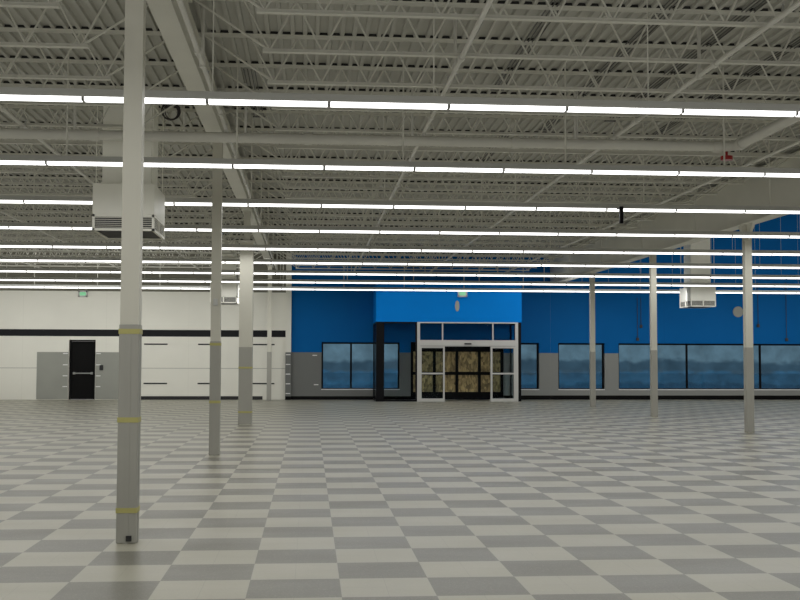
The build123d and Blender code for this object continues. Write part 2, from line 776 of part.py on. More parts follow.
main_y = wall_inner - main_from_wall
main_z = floor_top + main_pipe_height
main_start = hall_left + pipe_end_gap
main_end = left_line + main_end_from_left_line
elbow_radius = 1.5 * main_diameter
near_run_length = main_y - elbow_radius - near_end - pipe_end_gap
riser_bottom = main_z + main_radius + running_clearance
riser_top = branch_z - branch_radius - running_clearance
with BuildPart() as sprinkler_main:
    with Locations(((main_start + main_end - elbow_radius) / 2, main_y, main_z)):
        Cylinder(main_radius, main_end - elbow_radius - main_start, rotation=(0, 90, 0))
    with Locations((main_end, near_end + pipe_end_gap + near_run_length / 2, main_z)):
        Cylinder(main_radius, near_run_length, rotation=(90, 0, 0))
    for x in low_branches[:main_risers]:
        bar(hanger_side, hanger_side, riser_bottom, low_deck, x - main_hanger_offset, main_y)
        with Locations((x, main_y, (riser_bottom + riser_top) / 2)):
            Cylinder(branch_radius, riser_top - riser_bottom)
    bar(hanger_side, hanger_side, riser_bottom, low_deck, main_end, low_hanger_rows[-1])
save(sprinkler_main, "sprinkler_main")

with BuildPart() as sprinkler_elbow:
    with BuildSketch(Plane(origin=(main_end - elbow_radius, main_y, main_z), z_dir=(1, 0, 0))):
        Circle(main_radius)
    revolve(axis=Axis((main_end - elbow_radius, main_y - elbow_radius, main_z), (0, 0, 1)),
            revolution_arc=-90)
save(sprinkler_elbow, "sprinkler_elbow")

# Supply air drops: a duct from the deck down to a box with a grille
left_drop_y = inner_low_rows[1] - low_joist_spacing / 2
front_drop_y = low_joist_rows[3] + low_joist_spacing / 2
high_drop_y = high_joist_rows[2] + high_joist_spacing / 2
box_bottom = floor_top + drop_bottom
box_top = box_bottom + drop_box_height
drops = ((left_line + left_drop_offset, left_drop_y, low_deck),
         (left_line + front_drop_offset, front_drop_y, low_deck),
         (right_line + high_drop_offset, high_drop_y, high_deck))
with BuildPart() as air_drops:
    for x, y, deck in drops:
        bar(drop_box_width, drop_box_length, box_bottom, box_top, x, y)
        bar(drop_duct_width, drop_duct_width, box_top, deck, x, y)
save(air_drops, "air_drops")

# Lit exit signs on the bulkhead and over the exit door
sign_bottom = floor_top + exit_sign_bottom
with BuildPart() as exit_signs:
    for x, wall_face in ((vestibule_x + exit_sign_offset, vestibule_front), (exit_x, wall_inner)):
        block(x - exit_sign_width / 2, x + exit_sign_width / 2, wall_face - exit_sign_depth, wall_face,
              sign_bottom, sign_bottom + exit_sign_height)
save(exit_signs, "exit_signs")
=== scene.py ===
"""Front bays of a store's sales hall: finishes and fine pieces around the frame, in metres."""

import logging
import math
from collections.abc import Iterable, Sequence
from dataclasses import dataclass
from enum import Enum
from typing import NamedTuple

import bmesh
import bpy
from mathutils import Matrix, Quaternion, Vector


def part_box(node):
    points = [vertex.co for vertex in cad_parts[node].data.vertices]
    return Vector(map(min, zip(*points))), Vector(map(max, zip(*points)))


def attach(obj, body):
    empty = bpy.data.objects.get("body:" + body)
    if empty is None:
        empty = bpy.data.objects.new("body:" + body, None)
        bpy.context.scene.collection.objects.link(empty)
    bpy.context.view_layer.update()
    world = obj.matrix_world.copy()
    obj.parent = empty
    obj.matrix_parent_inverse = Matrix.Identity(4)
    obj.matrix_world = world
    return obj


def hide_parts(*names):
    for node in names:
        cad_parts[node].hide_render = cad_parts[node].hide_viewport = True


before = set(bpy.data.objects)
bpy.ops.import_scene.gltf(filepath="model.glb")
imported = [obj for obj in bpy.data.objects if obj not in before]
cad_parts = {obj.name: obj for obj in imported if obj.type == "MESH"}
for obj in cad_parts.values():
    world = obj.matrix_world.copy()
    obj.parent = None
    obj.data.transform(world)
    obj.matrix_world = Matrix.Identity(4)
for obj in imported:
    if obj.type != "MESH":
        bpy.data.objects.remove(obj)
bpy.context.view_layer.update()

log = logging.getLogger("store_hall")
Colour = tuple[float, float, float]
Paints = dict[str, bpy.types.Material]


class Box(NamedTuple):
    """Lowest and highest corner of a box along the axes."""

    low: Vector
    high: Vector

    @property
    def middle(self) -> Vector:
        """Its centre."""
        return (self.low + self.high) / 2

    @property
    def size(self) -> Vector:
        """Its side lengths."""
        return self.high - self.low


def node_box(node: str) -> Box:
    """Box around a CAD node."""
    return Box(*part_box(node))


FLOOR = node_box("floor_slab").high.z
HALL = node_box("roof_membrane")
WALL_INNER, WALL_OUTER = (corner.y for corner in node_box("front_wall_white"))
RIGHT_LINE = node_box("front_wall_high_bay").low.x
LEFT_LINE = -RIGHT_LINE
LINE_ROOM = 0.3


class Body(Enum):
    """Bodies of the frame that a piece can ride on."""

    HALL = "hall"
    LEFT_LEAF = "left_leaf"
    RIGHT_LEAF = "right_leaf"


class Shape:
    """A mesh under construction, with the ways in which the hall's pieces are made."""

    def __init__(self) -> None:
        """Starts with no vertices."""
        self.mesh = bmesh.new()

    def box(self, low: Sequence[float], high: Sequence[float], edge: float = 0.0,
            steps: int = 1) -> None:
        """Adds a box between two corners.

        Args:
            low: Corner with the lowest coordinates.
            high: Corner with the highest coordinates.
            edge: Width of its bevels, or 0 for sharp edges.
            steps: Segments of a bevel.
        """
        box = Box(Vector(low), Vector(high))
        matrix = Matrix.Translation(box.middle) @ Matrix.Diagonal((*box.size, 1.0))
        verts = bmesh.ops.create_cube(self.mesh, size=1.0, matrix=matrix)["verts"]
        if edge:
            edges = list({link for vert in verts for link in vert.link_edges})
            bmesh.ops.bevel(self.mesh, geom=edges, offset=edge, segments=steps, profile=0.5,
                            affect="EDGES", material=-1, clamp_overlap=True)

    def mount(self, x: float, z: float, size: Sequence[float], back: float,
              edge: float = 0.0) -> None:
        """Adds a box in front of an upright face.

        Args:
            x: Left side of the box.
            z: Height of its underside above the floor.
            size: Width, depth and height.
            back: Place of the face.
            edge: Width of its bevels, or 0 for sharp edges.
        """
        width, depth, height = size
        self.box((x, back - depth, FLOOR + z), (x + width, back, FLOOR + z + height), edge)

    def collar(self, box: Box, proud: float, bottom: float, top: float,
               edge: float = 0.0) -> None:
        """Adds a box around an upright member.

        Args:
            box: Box of the member.
            proud: How far the collar stands out on each side.
            bottom: Lower end.
            top: Upper end.
            edge: Width of its bevels, or 0 for sharp edges.
        """
        low, high = box
        self.box((low.x - proud, low.y - proud, bottom), (high.x + proud, high.y + proud, top),
                 edge)

    def rod(self, start: Sequence[float], end: Sequence[float], radius: float, sides: int = 6,
            capped: bool = True) -> None:
        """Adds a round bar between two points.

        Args:
            start: Centre of one end.
            end: Centre of the other end.
            radius: Radius of the bar.
            sides: Flat sides of the bar.
            capped: Whether the ends are closed.
        """
        axis = Vector(end) - Vector(start)
        turn = axis.to_track_quat("Z", "Y").to_matrix().to_4x4()
        matrix = Matrix.Translation((Vector(start) + Vector(end)) / 2) @ turn
        bmesh.ops.create_cone(self.mesh, cap_ends=capped, segments=sides, radius1=radius,
                              radius2=radius, depth=axis.length, matrix=matrix)

    def sleeve(self, centre: Vector, axis: int, length: float, radius: float,
               sides: int) -> None:
        """Adds a short round bar around a point.

        Args:
            centre: Middle of the bar.
            axis: Number of the axis that the bar lies along.
            length: Length of the bar.
            radius: Radius of the bar.
            sides: Flat sides of the bar.
        """
        reach = Vector()
        reach[axis] = length / 2
        self.rod(centre - reach, centre + reach, radius, sides)

    def prism(self, outline: Iterable[Sequence[float]], along: Sequence[float]) -> None:
        """Adds a closed outline drawn out along a line.

        Args:
            outline: Corners of the outline, in order.
            along: Vector from the outline to the far end.
        """
        face = self.mesh.faces.new([self.mesh.verts.new(corner) for corner in outline])
        made = bmesh.ops.extrude_face_region(self.mesh, geom=[face])["geom"]
        far = [part for part in made if isinstance(part, bmesh.types.BMVert)]
        bmesh.ops.translate(self.mesh, verts=far, vec=Vector(along))

    def bar(self, half_section: Sequence[tuple[float, float]], left: float, right: float,
            y: float = 0.0) -> None:
        """Adds a bar along x with a section that is the same to both sides.

        Args:
            half_section: Corners on the far side, in y and z.
            left: Left end.
            right: Right end.
            y: Middle of the bar.
        """
        section = [*half_section, *((-across, up) for across, up in reversed(half_section))]
        self.prism([(left, y + across, up) for across, up in section], (right - left, 0, 0))

    def ring(self, centre: Sequence[float], axis: Sequence[float], radius: float, wall: float,
             width: float, steps: int = 14) -> None:
        """Adds a flat band around a pipe.

        Args:
            centre: Middle of the band on the pipe's axis.
            axis: Unit vector along the pipe, which lies flat.
            radius: Outer radius of the band.
            wall: Thickness of the band.
            width: Width of the band along the pipe.
            steps: Segments around the pipe.
        """
        axis_line, middle, inner = Vector(axis), Vector(centre), radius - wall
        corners = [middle + Vector((0, 0, reach)) + axis_line * side * width / 2
                   for reach, side in ((inner, -1), (radius, -1), (radius, 1), (inner, 1))]
        face = self.mesh.faces.new([self.mesh.verts.new(corner) for corner in corners])
        loop = list(face.verts) + list(face.edges) + [face]
        bmesh.ops.spin(self.mesh, geom=loop, cent=middle, axis=axis_line, angle=math.tau,
                       steps=steps, use_merge=True)

    def stamp(self, other: "Shape", places: Iterable[Sequence[float]]) -> None:
        """Adds copies of another shape, and ends that shape.

        Args:
            other: Shape to copy.
            places: Shift of each copy.
        """
        data = bpy.data.meshes.new("stamp")
        other.mesh.to_mesh(data)
        other.mesh.free()
        for place in places:
            data.transform(Matrix.Translation(place))
            self.mesh.from_mesh(data)
            data.transform(Matrix.Translation(-Vector(place)))
        bpy.data.meshes.remove(data)

    def piece(self, name: str, finish: bpy.types.Material, body: Body = Body.HALL,
              replaces: Sequence[str] = (), slot: str = "", smooth_angle: float = 0.0) -> None:
        """Turns the shape into a piece of the hall.

        Args:
            name: Name of the piece.
            finish: Material of the piece.
            body: Body that the piece rides on.
            replaces: CAD nodes that the piece stands for.
            slot: Material slot of the record; not used.
            smooth_angle: Largest angle in degrees that is shaded smooth, or 0 for flat faces.
        """
        bmesh.ops.remove_doubles(self.mesh, verts=self.mesh.verts, dist=1e-6)
        bmesh.ops.recalc_face_normals(self.mesh, faces=self.mesh.faces)
        data = bpy.data.meshes.new(name)
        self.mesh.to_mesh(data)
        self.mesh.free()
        if smooth_angle:
            data.shade_smooth()
            data.set_sharp_from_angle(angle=math.radians(smooth_angle))
        data.materials.append(finish)
        made = bpy.data.objects.new(name, data)
        bpy.context.scene.collection.objects.link(made)
        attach(made, body.value)
        if replaces:
            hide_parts(*replaces)
        log.info("%s: %d faces", name, len(data.polygons))


def solids(node: str) -> list[Box]:
    """Finds the separate solids of a CAD node.

    Args:
        node: Name of the node.

    Returns:
        Box of each solid.
    """
    mesh = bmesh.new()
    mesh.from_mesh(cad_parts[node].data)
    bmesh.ops.remove_doubles(mesh, verts=mesh.verts, dist=1e-5)
    left, found = set(mesh.verts), []
    while left:
        edge, island = [left.pop()], []
        while edge:
            vert = edge.pop()
            island.append(vert.co.copy())
            fresh = {link.other_vert(vert) for link in vert.link_edges} & left
            left -= fresh
            edge.extend(fresh)
        found.append(Box(*(Vector(map(pick, zip(*island))) for pick in (min, max))))
    mesh.free()
    return sorted(found, key=lambda box: tuple(box.low))


def steps(box: Box, start: float, pitch: float) -> list[float]:
    """Places at an even pitch between the left and right end of a box.

    Args:
        box: Box that the places lie in.
        start: One of the places.
        pitch: Distance between two places.

    Returns:
        The places in x.
    """
    first = math.ceil((box.low.x - start) / pitch)
    last = math.floor((box.high.x - start) / pitch)
    return [start + step * pitch for step in range(first, last + 1)]


def scaled(colour: Colour, factor: float) -> Colour:
    """A colour made lighter or darker."""
    return tuple(factor * part for part in colour)


class NodeSheet:
    """A node tree under construction, with short calls for the nodes that the finishes use."""

    def __init__(self, tree: bpy.types.NodeTree) -> None:
        """Keeps the tree that the nodes go into."""
        self.tree = tree

    def node(self, kind: str, inputs: dict[str | int, object] | None = None,
             **settings: object) -> bpy.types.Node:
        """Adds a node.

        Args:
            kind: Blender's name of the node type.
            inputs: What its inputs get, by name or number.
            settings: Properties of the node.

        Returns:
            The new node.
        """
        made = self.tree.nodes.new(kind)
        for name, value in settings.items():
            setattr(made, name, value)
        for key, value in (inputs or {}).items():
            self.feed(made.inputs[key], value)
        return made

    def feed(self, socket: bpy.types.NodeSocket, value: object) -> None:
        """Links a socket, or sets its value.

        Args:
            socket: Socket to feed.
            value: Output socket, number or colour.
        """
        if isinstance(value, bpy.types.NodeSocket):
            self.tree.links.new(value, socket)
        elif isinstance(value, tuple) and len(value) == 3 and socket.type == "RGBA":
            socket.default_value = (*value, 1.0)
        else:
            socket.default_value = value

    def math(self, operation: str, *values: object) -> bpy.types.NodeSocket:
        """The result of a maths node."""
        made = self.node("ShaderNodeMath", dict(enumerate(values)), operation=operation)
        return made.outputs[0]

    def mix(self, factor: object, first: object, second: object,
            blend: str = "MIX") -> bpy.types.NodeSocket:
        """Two colours mixed, with the factor as the share of the second."""
        inputs = {0: factor, 6: first, 7: second}
        return self.node("ShaderNodeMix", inputs, data_type="RGBA", blend_type=blend).outputs[2]

    def place(self) -> bpy.types.NodeSocket:
        """Object coordinates, which are the hall's own metres."""
        return self.node("ShaderNodeTexCoord").outputs["Object"]

    def axes(self, vector: bpy.types.NodeSocket) -> list[bpy.types.NodeSocket]:
        """The x, y and z parts of a vector."""
        return list(self.node("ShaderNodeSeparateXYZ", {0: vector}).outputs)

    def noise(self, vector: bpy.types.NodeSocket, scale: object,
              detail: float) -> bpy.types.NodeSocket:
        """Grey value of a noise with a number of spots per metre and of octaves."""
        inputs = {"Vector": vector, "Scale": scale, "Detail": detail, "Roughness": 0.55}
        return self.node("ShaderNodeTexNoise", inputs).outputs["Fac"]

    def stretch(self, vector: bpy.types.NodeSocket, scale: Colour) -> bpy.types.NodeSocket:
        """Coordinates times a factor on each axis."""
        return self.node("ShaderNodeMapping", {"Vector": vector, "Scale": scale}).outputs[0]

    def near_line(self, position: object, pitch: float, width: float,
                  phase: float = 0.0) -> bpy.types.NodeSocket:
        """Mask of thin lines at a regular pitch.

        Args:
            position: Distance across the lines.
            pitch: Distance between lines.
            width: Width of a line.
            phase: Place of one line.

        Returns:
            1 on a line and 0 elsewhere.
        """
        shifted = self.math("SUBTRACT", position, phase - pitch / 2)
        within = self.math("FLOORED_MODULO", shifted, pitch)
        away = self.math("ABSOLUTE", self.math("SUBTRACT", within, pitch / 2))
        return self.math("LESS_THAN", away, width / 2)


CLOUD_SPREAD = 4.0
SOCKET_KINDS = {"Colour": "NodeSocketColor", "Normal": "NodeSocketVector"}


def start_effect(name: str, inputs: Sequence[str], output: str) -> tuple[NodeSheet, Sequence]:
    """Starts a shared effect.

    Args:
        name: Name of the effect.
        inputs: Names of its inputs.
        output: Name of its result.

    Returns:
        Sheet of the effect, and what its inputs give out.
    """
    tree = bpy.data.node_groups.new(name, "ShaderNodeTree")
    for title, way in (*((title, "INPUT") for title in inputs), (output, "OUTPUT")):
        kind = SOCKET_KINDS.get(title, "NodeSocketFloat")
        tree.interface.new_socket(title, in_out=way, socket_type=kind)
    sheet = NodeSheet(tree)
    return sheet, sheet.node("NodeGroupInput").outputs


def make_paint_variation() -> bpy.types.NodeTree:
    """Builds the effect of soft blotches in a paint.

    Returns:
        Node tree of the effect.
    """
    sheet, given = start_effect("paint_variation", ("Colour", "Amount", "Scale"), "Colour")
    cloud = sheet.noise(sheet.place(), given["Scale"], detail=4.0)
    swing = sheet.math("MULTIPLY", sheet.math("SUBTRACT", cloud, 0.5), given["Amount"])
    level = sheet.math("ADD", sheet.math("MULTIPLY", swing, CLOUD_SPREAD), 1.0)
    shade = sheet.node("ShaderNodeCombineColor", {0: level, 1: level, 2: level}).outputs[0]
    sheet.node("NodeGroupOutput", {0: sheet.mix(1.0, given["Colour"], shade, "MULTIPLY")})
    return sheet.tree


def make_surface_grain() -> bpy.types.NodeTree:
    """Builds the effect of a fine rough surface, as a normal.

    Returns:
        Node tree of the effect.
    """
    sheet, given = start_effect("surface_grain", ("Scale", "Strength"), "Normal")
    height = sheet.noise(sheet.place(), given["Scale"], detail=2.0)
    bump = sheet.node("ShaderNodeBump", {"Strength": given["Strength"], "Distance": 0.002,
                                         "Height": height})
    sheet.node("NodeGroupOutput", {0: bump.outputs[0]})
    return sheet.tree


def make_height_band() -> bpy.types.NodeTree:
    """Builds the mask of a level band between two heights.

    Returns:
        Node tree of the effect.
    """
    sheet, given = start_effect("height_band", ("Low", "High"), "Mask")
    height = sheet.axes(sheet.place())[2]
    above = sheet.math("GREATER_THAN", height, given["Low"])
    below = sheet.math("LESS_THAN", height, given["High"])
    sheet.node("NodeGroupOutput", {0: sheet.math("MULTIPLY", above, below)})
    return sheet.tree


class Effects:
    """The shared effects, each built once."""

    variation = make_paint_variation()
    grain = make_surface_grain()
    band = make_height_band()


class Band(NamedTuple):
    """Level band of colour on a wall, in heights above the floor."""

    low: float
    high: float
    colour: Colour


class FinishSheet(NodeSheet):
    """Nodes of one material around its shader."""

    def __init__(self, name: str, roughness: float, metallic: float = 0.0,
                 gloss: float = 0.5) -> None:
        """Starts a material.

        Args:
            name: Name of the material.
            roughness: Roughness of the surface.
            metallic: 1 for bare metal and 0 for anything else.
            gloss: Strength of the highlights.
        """
        self.material = bpy.data.materials.new(name)
        self.material.use_nodes = True
        super().__init__(self.material.node_tree)
        self.shader = self.tree.nodes["Principled BSDF"]
        self.shade({"Roughness": roughness, "Metallic": metallic, "Specular IOR Level": gloss})

    def shade(self, inputs: dict[str, object]) -> None:
        """Feeds inputs of the shader by name."""
        for name, value in inputs.items():
            self.feed(self.shader.inputs[name], value)

    def group(self, tree: bpy.types.NodeTree, **inputs: object) -> bpy.types.NodeSocket:
        """The result of a shared effect."""
        return self.node("ShaderNodeGroup", inputs, node_tree=tree).outputs[0]

    def varied(self, colour: object, amount: float, scale: float) -> bpy.types.NodeSocket:
        """A colour with soft blotches."""
        return self.group(Effects.variation, Colour=colour, Amount=amount, Scale=scale)

    def banded(self, colour: object, bands: Iterable[Band]) -> object:
        """Lays level bands over a colour.

        Args:
            colour: Colour below the bands.
            bands: Bands, the lowest layer first.

        Returns:
            The banded colour.
        """
        for low, high, paint in bands:
            mask = self.group(Effects.band, Low=FLOOR + low, High=FLOOR + high)
            colour = self.mix(mask, colour, paint)
        return colour

    def grained(self, scale: float, strength: float) -> None:
        """Gives the shader a fine rough surface."""
        self.shade({"Normal": self.group(Effects.grain, Scale=scale, Strength=strength)})

    def coloured(self, colour: object) -> bpy.types.Material:
        """Sets the shader's colour and hands out the finished material."""
        self.shade({"Base Color": colour})
        return self.material


@dataclass(frozen=True)
class Finish:
    """What every finish has."""

    name: str

    def build(self) -> bpy.types.Material:
        """The finished material."""
        raise NotImplementedError


@dataclass(frozen=True)
class Paint(Finish):
    """Painted or coated surface with faint blotches, a fine grain and level bands of colour."""

    colour: Colour
    roughness: float = 0.5
    metallic: float = 0.0
    blotch: float = 0.05
    blotch_scale: float = 1.3
    grain: float = 0.08
    grain_scale: float = 70.0
    gloss: float = 0.3
    bands: tuple[Band, ...] = ()

    def build(self) -> bpy.types.Material:
        """Builds the nodes.

        Returns:
            The finished material.
        """
        sheet = FinishSheet(self.name, self.roughness, self.metallic, self.gloss)
        sheet.grained(self.grain_scale, self.grain)
        colour = sheet.varied(self.colour, self.blotch, self.blotch_scale)
        return sheet.coloured(sheet.banded(colour, self.bands))


@dataclass(frozen=True)
class WallPaint(Finish):
    """Inner wall paint with level bands, over masonry outside and above the roof, with a coping.

    The bands' heights and the wall's top are above the floor. The roof is a height in the hall,
    and the masonry also covers the wall's end at end_x.
    """

    colour: Colour
    bands: tuple[Band, ...]
    top: float
    roof: float
    joint_pitch: float = 3.05
    joint_width: float = 0.008
    joint_shade: float = 0.25
    block_colour: Colour = (0.56, 0.54, 0.50)
    mortar_colour: Colour = (0.44, 0.43, 0.41)
    block_shade: float = 0.93
    block_length: float = 0.4
    block_height: float = 0.2
    mortar: float = 0.005
    coping_colour: Colour = (0.09, 0.10, 0.11)
    coping_height: float = 0.16
    roof_lap: float = 0.01
    end_x: float = -100.0
    end_lap: float = 0.001

    def masonry(self, sheet: FinishSheet, x: bpy.types.NodeSocket,
                z: bpy.types.NodeSocket) -> bpy.types.NodeSocket:
        """Pattern of the outer face's blocks under the coping.

        Args:
            sheet: Sheet to draw on.
            x: Place along the wall.
            z: Height.

        Returns:
            Colour of the outer face.
        """
        brick = sheet.node("ShaderNodeTexBrick", {
            "Vector": sheet.node("ShaderNodeCombineXYZ", {0: x, 1: z}).outputs[0],
            "Color1": self.block_colour, "Color2": scaled(self.block_colour, self.block_shade),
            "Mortar": self.mortar_colour, "Scale": 1.0, "Mortar Size": self.mortar,
            "Brick Width": self.block_length, "Row Height": self.block_height}, offset=0.5)
        coping = Band(self.top - self.coping_height, self.top + 1, self.coping_colour)
        blocks = sheet.varied(brick.outputs["Color"], amount=0.10, scale=25.0)
        return sheet.banded(blocks, (coping,))

    def build(self) -> bpy.types.Material:
        """Builds the nodes.

        Returns:
            The finished material.
        """
        sheet = FinishSheet(self.name, roughness=0.55, gloss=0.08)
        x, y, z = sheet.axes(sheet.place())
        joint = sheet.near_line(x, self.joint_pitch, self.joint_width, LEFT_LINE)
        inside = sheet.mix(joint, sheet.varied(self.colour, amount=0.03, scale=0.7),
                           scaled(self.colour, 1 - self.joint_shade))
        inside = sheet.banded(inside, self.bands)
        outside = sheet.math("GREATER_THAN", y, (WALL_INNER + WALL_OUTER) / 2)
        for side in (sheet.math("GREATER_THAN", z, self.roof - self.roof_lap),
                     sheet.math("LESS_THAN", x, self.end_x + self.end_lap)):
            outside = sheet.math("MAXIMUM", outside, side)
        sheet.grained(scale=45.0, strength=0.12)
        return sheet.coloured(sheet.mix(outside, inside, self.masonry(sheet, x, z)))


@dataclass(frozen=True)
class FloorTile(Finish):
    """Waxed vinyl tile in checks of two greys, each check four tiles, on a concrete slab."""

    light: Colour = (0.340, 0.327, 0.258)
    dark: Colour = (0.149, 0.144, 0.115)
    concrete: Colour = (0.42, 0.41, 0.39)
    check: float = 0.6096
    start_x: float = -4.284
    start_y: float = -17.0
    tile_thickness: float = 0.004
    chip_colour: Colour = (0.50, 0.48, 0.39)
    chip_share: float = 0.12
    seam: float = 0.0035
    seam_colour: Colour = (0.10, 0.10, 0.10)
    seam_share: float = 0.25
    wax_roughness: tuple[float, float] = (0.24, 0.44)

    def build(self) -> bpy.types.Material:
        """Builds the nodes.

        Returns:
            The finished material.
        """
        sheet = FinishSheet(self.name, roughness=0.3, gloss=0.22)
        place = sheet.place()
        x, y, z = sheet.axes(place)
        starts = ((x, self.start_x), (y, self.start_y))
        count = sheet.math("ADD", *(
            sheet.math("FLOOR", sheet.math("DIVIDE", sheet.math("SUBTRACT", axis, start),
                                           self.check)) for axis, start in starts))
        odd = sheet.math("GREATER_THAN", sheet.math("FLOORED_MODULO", count, 2.0), 0.5)
        chips = sheet.math("GREATER_THAN", sheet.noise(place, scale=90.0, detail=1.0), 0.6)
        tone = sheet.mix(sheet.math("MULTIPLY", chips, self.chip_share),
                         sheet.mix(odd, self.light, self.dark), self.chip_colour)
        seams = sheet.math("MAXIMUM", *(sheet.near_line(axis, self.check / 2, self.seam, start)
                                        for axis, start in starts))
        tone = sheet.mix(sheet.math("MULTIPLY", seams, self.seam_share),
                         sheet.varied(tone, amount=0.05, scale=0.8), self.seam_colour)
        top = sheet.math("GREATER_THAN", z, FLOOR - self.tile_thickness)
        wax = sheet.node("ShaderNodeMapRange", {
            "Value": sheet.noise(sheet.stretch(place, (0.7, 1.6, 1.0)), scale=1.0, detail=4.0),
            "To Min": self.wax_roughness[0], "To Max": self.wax_roughness[1]})
        sheet.shade({"Roughness": wax.outputs[0]})
        sheet.grained(scale=30.0, strength=0.05)
        slab = sheet.varied(self.concrete, amount=0.12, scale=3.0)
        return sheet.coloured(sheet.mix(top, slab, tone))


@dataclass(frozen=True)
class Glass(Finish):
    """Clear or tinted float glass, with softly blended level bands of a painted outdoor view seen
    through it.
    """

    colour: Colour
    gloss: float
    bend: float
    bands: tuple[Band, ...] = ()
    blend: float = 0.10
    view_wave: float = 0.55

    def build(self) -> bpy.types.Material:
        """Builds the nodes.

        Returns:
            The finished material.
        """
        sheet = FinishSheet(self.name, roughness=0.03, gloss=self.gloss)
        sheet.shade({"Transmission Weight": 1.0, "IOR": self.bend})
        if not self.bands:
            return sheet.coloured(self.colour)
        place, colour = sheet.place(), self.colour
        # Wavy level bands and strong blotches: painted light and shade of the outdoors seen
        # through the panes.
        cloud = sheet.noise(sheet.stretch(place, (1.0, 1.0, 1.8)), scale=1.4, detail=4.0)
        wave = sheet.math("MULTIPLY", cloud, self.view_wave)
        level = sheet.math("ADD", sheet.axes(place)[2], wave)
        for band in self.bands:
            top = FLOOR + band.high + self.view_wave / 2
            mask = sheet.node("ShaderNodeMapRange", {
                "Value": level, "From Min": top + self.blend, "From Max": top - self.blend},
                interpolation_type="SMOOTHSTEP")
            colour = sheet.mix(mask.outputs[0], colour, band.colour)
        return sheet.coloured(sheet.varied(colour, amount=0.30, scale=1.6))


@dataclass(frozen=True)
class LitPanel(Finish):
    """Diffuser with light behind it."""

    colour: Colour
    strength: float

    def build(self) -> bpy.types.Material:
        """Builds the nodes.

        Returns:
            The finished material.
        """
        sheet = FinishSheet(self.name, roughness=0.4)
        sheet.shade({"Emission Color": self.colour, "Emission Strength": self.strength})
        return sheet.coloured(sheet.varied(self.colour, amount=0.02, scale=2.0))


@dataclass(frozen=True)
class StrandBoard(Finish):
    """Board of pressed wood strands."""

    colour: Colour = (0.32, 0.235, 0.10)
    strand_scale: float = 16.0

    def build(self) -> bpy.types.Material:
        """Builds the nodes.

        Returns:
            The finished material.
        """
        sheet = FinishSheet(self.name, roughness=0.7)
        cells = sheet.node("ShaderNodeTexVoronoi", {
            "Vector": sheet.stretch(sheet.place(), (1.0, 1.0, 0.45)),
            "Scale": self.strand_scale}, feature="F1")
        strand = sheet.axes(cells.outputs["Color"])[0]
        tone = sheet.mix(strand, scaled(self.colour, 0.5), scaled(self.colour, 1.75))
        sheet.grained(scale=120.0, strength=0.3)
        return sheet.coloured(sheet.varied(tone, amount=0.15, scale=6.0))


@dataclass(frozen=True)
class Membrane(Finish):
    """Pale roof membrane in sheets with welded laps."""

    colour: Colour = (0.62, 0.62, 0.60)
    sheet_width: float = 3.05
    lap: float = 0.11

    def build(self) -> bpy.types.Material:
        """Builds the nodes.

        Returns:
            The finished material.
        """
        sheet = FinishSheet(self.name, roughness=0.7)
        x, _, _ = sheet.axes(sheet.place())
        lap = sheet.near_line(x, self.sheet_width, self.lap)
        tone = sheet.mix(sheet.math("MULTIPLY", lap, 0.8), self.colour, scaled(self.colour, 0.7))
        sheet.grained(scale=20.0, strength=0.15)
        return sheet.coloured(sheet.varied(tone, amount=0.08, scale=0.6))


BLACK: Colour = (0.018, 0.018, 0.02)
BASE_BLACK: Colour = (0.006, 0.006, 0.006)
BLUE: Colour = (0.001, 0.105, 0.33)
WHITE: Colour = (0.72, 0.71, 0.63)
CREAM: Colour = (0.63, 0.62, 0.545)
COLUMN_CREAM: Colour = (0.55, 0.535, 0.455)
COVER_GREY: Colour = (0.33, 0.325, 0.285)


def wall_looks() -> dict[str, tuple]:
    """Makes up the front wall's paints.

    Returns:
        Each paint with the CAD nodes that wear it, by its short name.
    """
    high_bay = node_box("front_wall_high_bay")
    tops = (node_box("front_wall_white").high.z - FLOOR, high_bay.high.z - FLOOR)
    low_wall, high_wall = zip(tops, sorted(box.high.z for box in solids("roof_membrane")))
    stripes = (Band(2.36, 2.615, BLACK), Band(1.165, 1.185, (0.34, 0.34, 0.31)),
               Band(4.05, 9.0, (0.18, 0.175, 0.14)))
    dado = (Band(0, 1.79, (0.165, 0.17, 0.16)), Band(0, 0.13, BASE_BLACK))
    pale_dado = (Band(0, 1.79, (0.235, 0.24, 0.225)), Band(0, 0.16, BASE_BLACK))
    return {
        "white_wall": (WallPaint("white_wall_paint", WHITE, stripes, *low_wall, joint_shade=0.12),
                       "front_wall_white", "front_wall_over_exit"),
        "pilaster": (WallPaint("pilaster_paint", WHITE, dado, *low_wall, joint_width=0.0),
                     "pilaster"),
        "blue_wall": (WallPaint("blue_wall_paint", BLUE, dado, *low_wall),
                      "front_wall_blue_left", "front_wall_over_entrance"),
        "pale_foot_wall": (WallPaint("pale_foot_wall_paint", BLUE, pale_dado, *low_wall),
                           "front_wall_blue_right"),
        "high_blue_wall": (WallPaint("high_blue_wall_paint", BLUE, pale_dado, *high_wall,
                                     end_x=high_bay.low.x), "front_wall_high_bay")}


